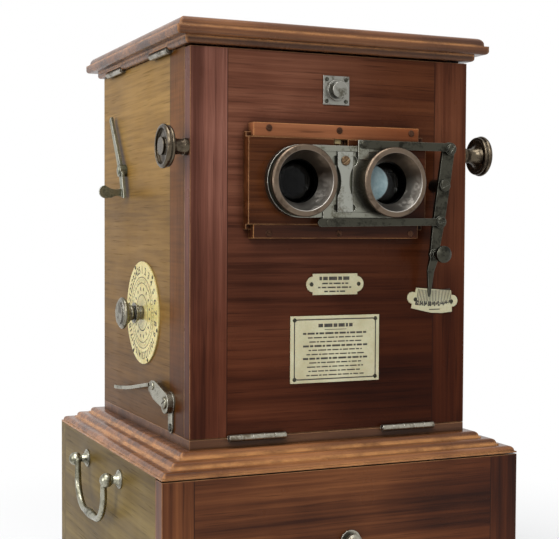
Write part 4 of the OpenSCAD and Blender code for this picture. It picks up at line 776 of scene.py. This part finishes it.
# Painted shade darkens the rails towards the right, and the lower rail as a whole.
rail_tones = ((0.080, 0.024, 0.009), (0.175, 0.060, 0.024), (0.28, 0.105, 0.045))
rail_wood = wood("rail_mahogany", "X", rail_tones, 0.3, edge_wear_and_highlight=(0.52, 0.25, 0.09),
                 painted_shading=(("X", -0.02, 0.06, (0.7, 0.55, 0.4)),
                         ("Z", 0.33, 0.32, (0.24, 0.22, 0.24))),
                 gloss=0.08)
finish(board_wood, "lens_board")
finish(rail_wood, "board_rails")
rail_face = -104.2
rail_screws = []
for x in (-50.5, -1.0, 52.0):
    for z in (201.5, 135.5):
        rail_screws.append(turned(cab(x, rail_face, z), (0, -1, 0), x))
rail_metal = metal("rail_screw_bronze", (0.065, 0.030, 0.018), (0.03, 0.015, 0.010), 0.4, 0.5,
                   (0.14, 0.075, 0.045))
place_copies(slotted_head(0.0021, 0.0005), "rail_screws", rail_screws, rail_metal, "door")

# Lens frame: a flat oval of nickelled brass with a raised rim, over which two short lips hold
# the sliding lens plates. A waisted strap with one brass screw ties the lips in the middle.
frame_metal = metal("frame_nickel", (0.225, 0.225, 0.185), (0.10, 0.095, 0.066), 0.28, 0.5,
                    grime_and_shade_amount=0.35)
strap_metal = metal("strap_nickel", (0.31, 0.315, 0.275), (0.15, 0.14, 0.11), 0.3, 0.45)
screw_metal = metal("strap_screw_bronze", (0.19, 0.12, 0.065), (0.08, 0.05, 0.03), 0.32, 0.5,
                    (0.36, 0.26, 0.15))
finish(frame_metal, "lens_frame", "left_lens_plate", "right_lens_plate")
finish(strap_metal, "centre_strap")
place_copies(slotted_head(0.0031, 0.0011), "strap_screw",
             [turned(cab(1.0, -109.15, 182.0), (0, -1, 0), 0.7)], screw_metal, "optics")

# Eyecups: turned brass cups with a rolled lip, bronzed brown, a little paler in the cone that
# narrows to the lens tube. The tube is blackened against stray light.
eyes_middle, half_spacing, eyes_height = 0.001, 0.03225, 0.3465
tube_radius, cone_widening = 0.01395, 0.0054
cone_back, cone_front = -0.10755, -0.12015
cup_paint = metal("bronzed_cup", (0.145, 0.108, 0.078), (0.075, 0.054, 0.038), 0.3, 0.45,
                  (0.36, 0.31, 0.23), grime_and_shade_amount=0.4)
tree = cup_paint.node_tree
surface = tree.nodes["Principled BSDF"]
outside = surface.inputs["Base Color"].links[0].from_socket
where = shader(tree, "TexCoord").outputs["Object"]
apart = shader(tree, "SeparateXYZ", Vector=where).outputs
off_middle = calc(tree, "SUBTRACT", apart["X"], eyes_middle)
across = calc(tree, "SUBTRACT", calc(tree, "ABSOLUTE", off_middle), half_spacing)
above = calc(tree, "SUBTRACT", apart["Z"], eyes_height)
squares = calc(tree, "ADD", calc(tree, "POWER", across, 2.0), calc(tree, "POWER", above, 2.0))
radius = calc(tree, "SQRT", squares)
cone = spread(tree, apart["Y"], cone_back, cone_front)
cone = calc(tree, "ADD", calc(tree, "MULTIPLY", cone, cone_widening), tube_radius)
inside = calc(tree, "LESS_THAN", radius, cone)
worn = spots(tree, where, 60.0, 3.0, 0.5)
silver = tint(tree, spread(tree, worn, 0.3, 0.75), (0.19, 0.155, 0.125), (0.12, 0.09, 0.066))
# Painted reflection: the cone is lightened towards its lower right, where it would catch the light.
side = calc(tree, "MULTIPLY", across, calc(tree, "SIGN", off_middle))
slant = calc(tree, "SUBTRACT", calc(tree, "MULTIPLY", side, 0.6), above)
rubbed_and_reflection = spread(tree, slant, 0.004, 0.017)
silver = tint(tree, rubbed_and_reflection, silver, (0.50, 0.47, 0.42))
cup_colour = tint(tree, inside, outside, silver)
blackened = calc(tree, "LESS_THAN", radius, tube_radius)
cup_colour = tint(tree, blackened, cup_colour, (0.004, 0.004, 0.004))
tree.links.new(cup_colour, surface.inputs["Base Color"])
finish(cup_paint, "left_eyecup", "right_eyecup")

# Lenses: two biconvex glasses held in the tubes, both dusty. Their glass is tinted dark as painted
# shade for the dim inside behind them, and a pale patch over the left part of the right one is
# painted light from the rear window seen through it.
def lens_glass(name, centre, light_patch, clear):
    """Dusty glass of the colour clear, a dark tint that is painted shade, with a round pale patch of
    painted light of that strength at centre.
    """
    paint, tree, surface = blank(name)
    surface.inputs["IOR"].default_value = 1.5
    where = shader(tree, "TexCoord").outputs["Object"]
    dust = spots(tree, where, 700.0, 4.0, 0.7)
    off = shader(tree, "VectorMath", {"operation": "SUBTRACT"}, i0=where, i1=centre)
    off = shader(tree, "VectorMath", {"operation": "MULTIPLY"}, i0=off.outputs[0], i1=(1.0, 0.0, 1.0))
    reach = shader(tree, "VectorMath", {"operation": "LENGTH"}, i0=off.outputs[0]).outputs["Value"]
    light_patch_radius, light_patch_fade = 0.0118, 0.0009
    painted_light = calc(tree, "MULTIPLY", spread(tree, reach, light_patch_radius + light_patch_fade, light_patch_radius), light_patch)
    cloudy = spread(tree, spots(tree, where, 190.0, 5.0, 0.65), 0.3, 0.7)
    pale = tint(tree, cloudy, (0.22, 0.34, 0.37), (0.46, 0.60, 0.62))
    tree.links.new(tint(tree, painted_light, clear, pale), surface.inputs["Base Color"])
    surface.inputs["Specular IOR Level"].default_value = 0.12
    surface.inputs["Specular Tint"].default_value = (0.2, 0.2, 0.2, 1.0)
    tree.links.new(calc(tree, "SUBTRACT", 1.0, painted_light), surface.inputs["Transmission Weight"])
    tree.links.new(spread(tree, dust, 0.35, 6.0), surface.inputs["Roughness"])
    return paint


left_centre = (eyes_middle - half_spacing, 0.0, eyes_height)
light_patch_centre = (0.0219, 0.0, eyes_height)
finish(lens_glass("left_lens_glass", left_centre, 0.0, (0.11, 0.11, 0.11)), "left_lens")
finish(lens_glass("right_lens_glass", light_patch_centre, 0.9, (0.30, 0.31, 0.31)), "right_lens")

# Spacing lever: a flat steel lever on a shoulder screw draws both lens plates by a link each.
# Its foot has a turned finger knob and a bent pointer that runs over the scale.
finish(steel, "spacing_lever", "left_link", "right_link", "lever_pivot")
place_copies(slotted_head(0.0035, 0.0006), "lever_pivot_screw",
             [turned(cab(pivot[0], -110.3, pivot[1]), (0, -1, 0), 0.4)],
             steel, "door")
for name, body, x, z, turn in (("right_link_screw", "right_eyepiece", 78.62, 191.73, 1.0),
                               ("left_link_screw", "left_eyepiece", 71.38, 143.27, 0.2)):
    place_copies(slotted_head(0.0028, 0.0005), name, [turned(cab(x, -112.45, z), (0, -1, 0), turn)],
                 steel, body)
for name, body, x, z in (("right_link_rivet", "right_eyepiece", 13.5, 192.73),
                         ("left_link_rivet", "left_eyepiece", -11.5, 142.27)):
    place_copies(nail_head(0.0022, 0.0007), name, [turned(cab(x, -110.95, z), (0, -1, 0))],
                 steel, body)

# Focusing: a milled knob at each end of a steel shaft whose pinion moves the brass rack of the
# lens board. The knobs are bronzed nearly black-brown.
bronze = metal("knob_bronze", (0.100, 0.080, 0.055), (0.040, 0.030, 0.021), 0.25, 0.5,
               (0.26, 0.22, 0.16))
finish(bronze, "focus_knobs")
finish(steel, "focus_shaft", "dial_shaft", "lift_shaft")
finish(brass_inside, "focus_rack")

# Magazine drive: the dial's nickelled knob, turned with a beaded stem and a slightly domed
# face. It sits on the steel shaft whose pinion moves the carriage's rack.
knob_metal = metal("dial_knob_nickel", (0.22, 0.205, 0.155), (0.075, 0.063, 0.043), 0.26, 0.5)
finish(knob_metal, "dial_knob")

# Title lever: a long flat strip on the left side with a leaf for the thumb, greenish with age,
# on a hub with a slotted screw.
green_metal = metal("title_nickel", (0.24, 0.245, 0.18), (0.10, 0.10, 0.065), 0.3, 0.5)
finish(green_metal, "title_lever")
place_copies(slotted_head(0.0028, 0.0007), "title_screw",
             [turned(cab(-105.4, 40.0, 180.0), (-1, 0, 0), 0.9)],
             green_metal, "title")

# Release lever: a plate arm with a waved handle on a hub, over a bracket on the wall, with
# slotted screws in the hub, the plate's ear and the bracket's foot.
release_metal = metal("release_nickel", (0.30, 0.285, 0.22), (0.115, 0.10, 0.068), 0.27, 0.5)
finish(release_metal, "release_bracket", "release_lever")
place_copies(slotted_head(0.0040, 0.0012), "release_hub_screw",
             [turned(cab(-105.2, -62.0, 25.5), (-1, 0, 0), 0.5)],
             release_metal, "release")
place_copies(slotted_head(0.0026, 0.0008), "release_ear_screw",
             [turned(cab(-105.2, -37.5, 33.5), (-1, 0, 0), 1.2)],
             release_metal, "release")
place_copies(slotted_head(0.0026, 0.0007), "release_foot_screw",
             [turned(cab(-101.2, -62.0, 9.2), (-1, 0, 0), 0.1)], steel, "cabinet")

# Slide lift: a nickelled hand lever on the right side turns a shaft whose arm raises a thin
# steel blade under the chosen slide.
blade_metal = metal("blade_steel", (0.34, 0.34, 0.33), (0.16, 0.15, 0.13), 0.3, 0.4)
finish(nickel, "lift_lever")
finish(blade_metal, "lifter")

# Hinge screws: three countersunk brass screws in each leaf of the door's, the lid's and the
# flap's hinges. They show when one of these stands open.
def leaf_screws(name, centres, along, facing, body):
    """Three screws along each leaf, whose middles are the centres."""
    pitch = 0.0125
    places = []
    for centre in centres:
        for step in (-1, 0, 1):
            places.append(turned(centre + Vector(along) * (step * pitch), facing, 0.6 + step))
    place_copies(slotted_head(0.0017, 0.0001), name, places, brass, body)


door_leaves = [cab(-54.9, -91.6, 6.0), cab(54.9, -91.6, 6.0)]
lid_leaves = [cab(-96.0, 58.0, 252.0), cab(-96.0, -45.0, 252.0)]
flap_leaves = [Vector((-0.075, -0.1186, 0.008)), Vector((0.075, -0.1186, 0.008))]
leaf_gap = Vector((0, 0, 0.0003))
for swing, leaves, along in (("door", door_leaves, (1, 0, 0)), ("lid", lid_leaves, (0, 1, 0)),
                             ("flap", flap_leaves, (1, 0, 0))):
    moving = [leaf + leaf_gap for leaf in leaves]
    leaf_screws(swing + "_leaf_screws_fixed", leaves, along, (0, 0, 1), "cabinet")
    leaf_screws(swing + "_leaf_screws_moving", moving, along, (0, 0, -1), swing)
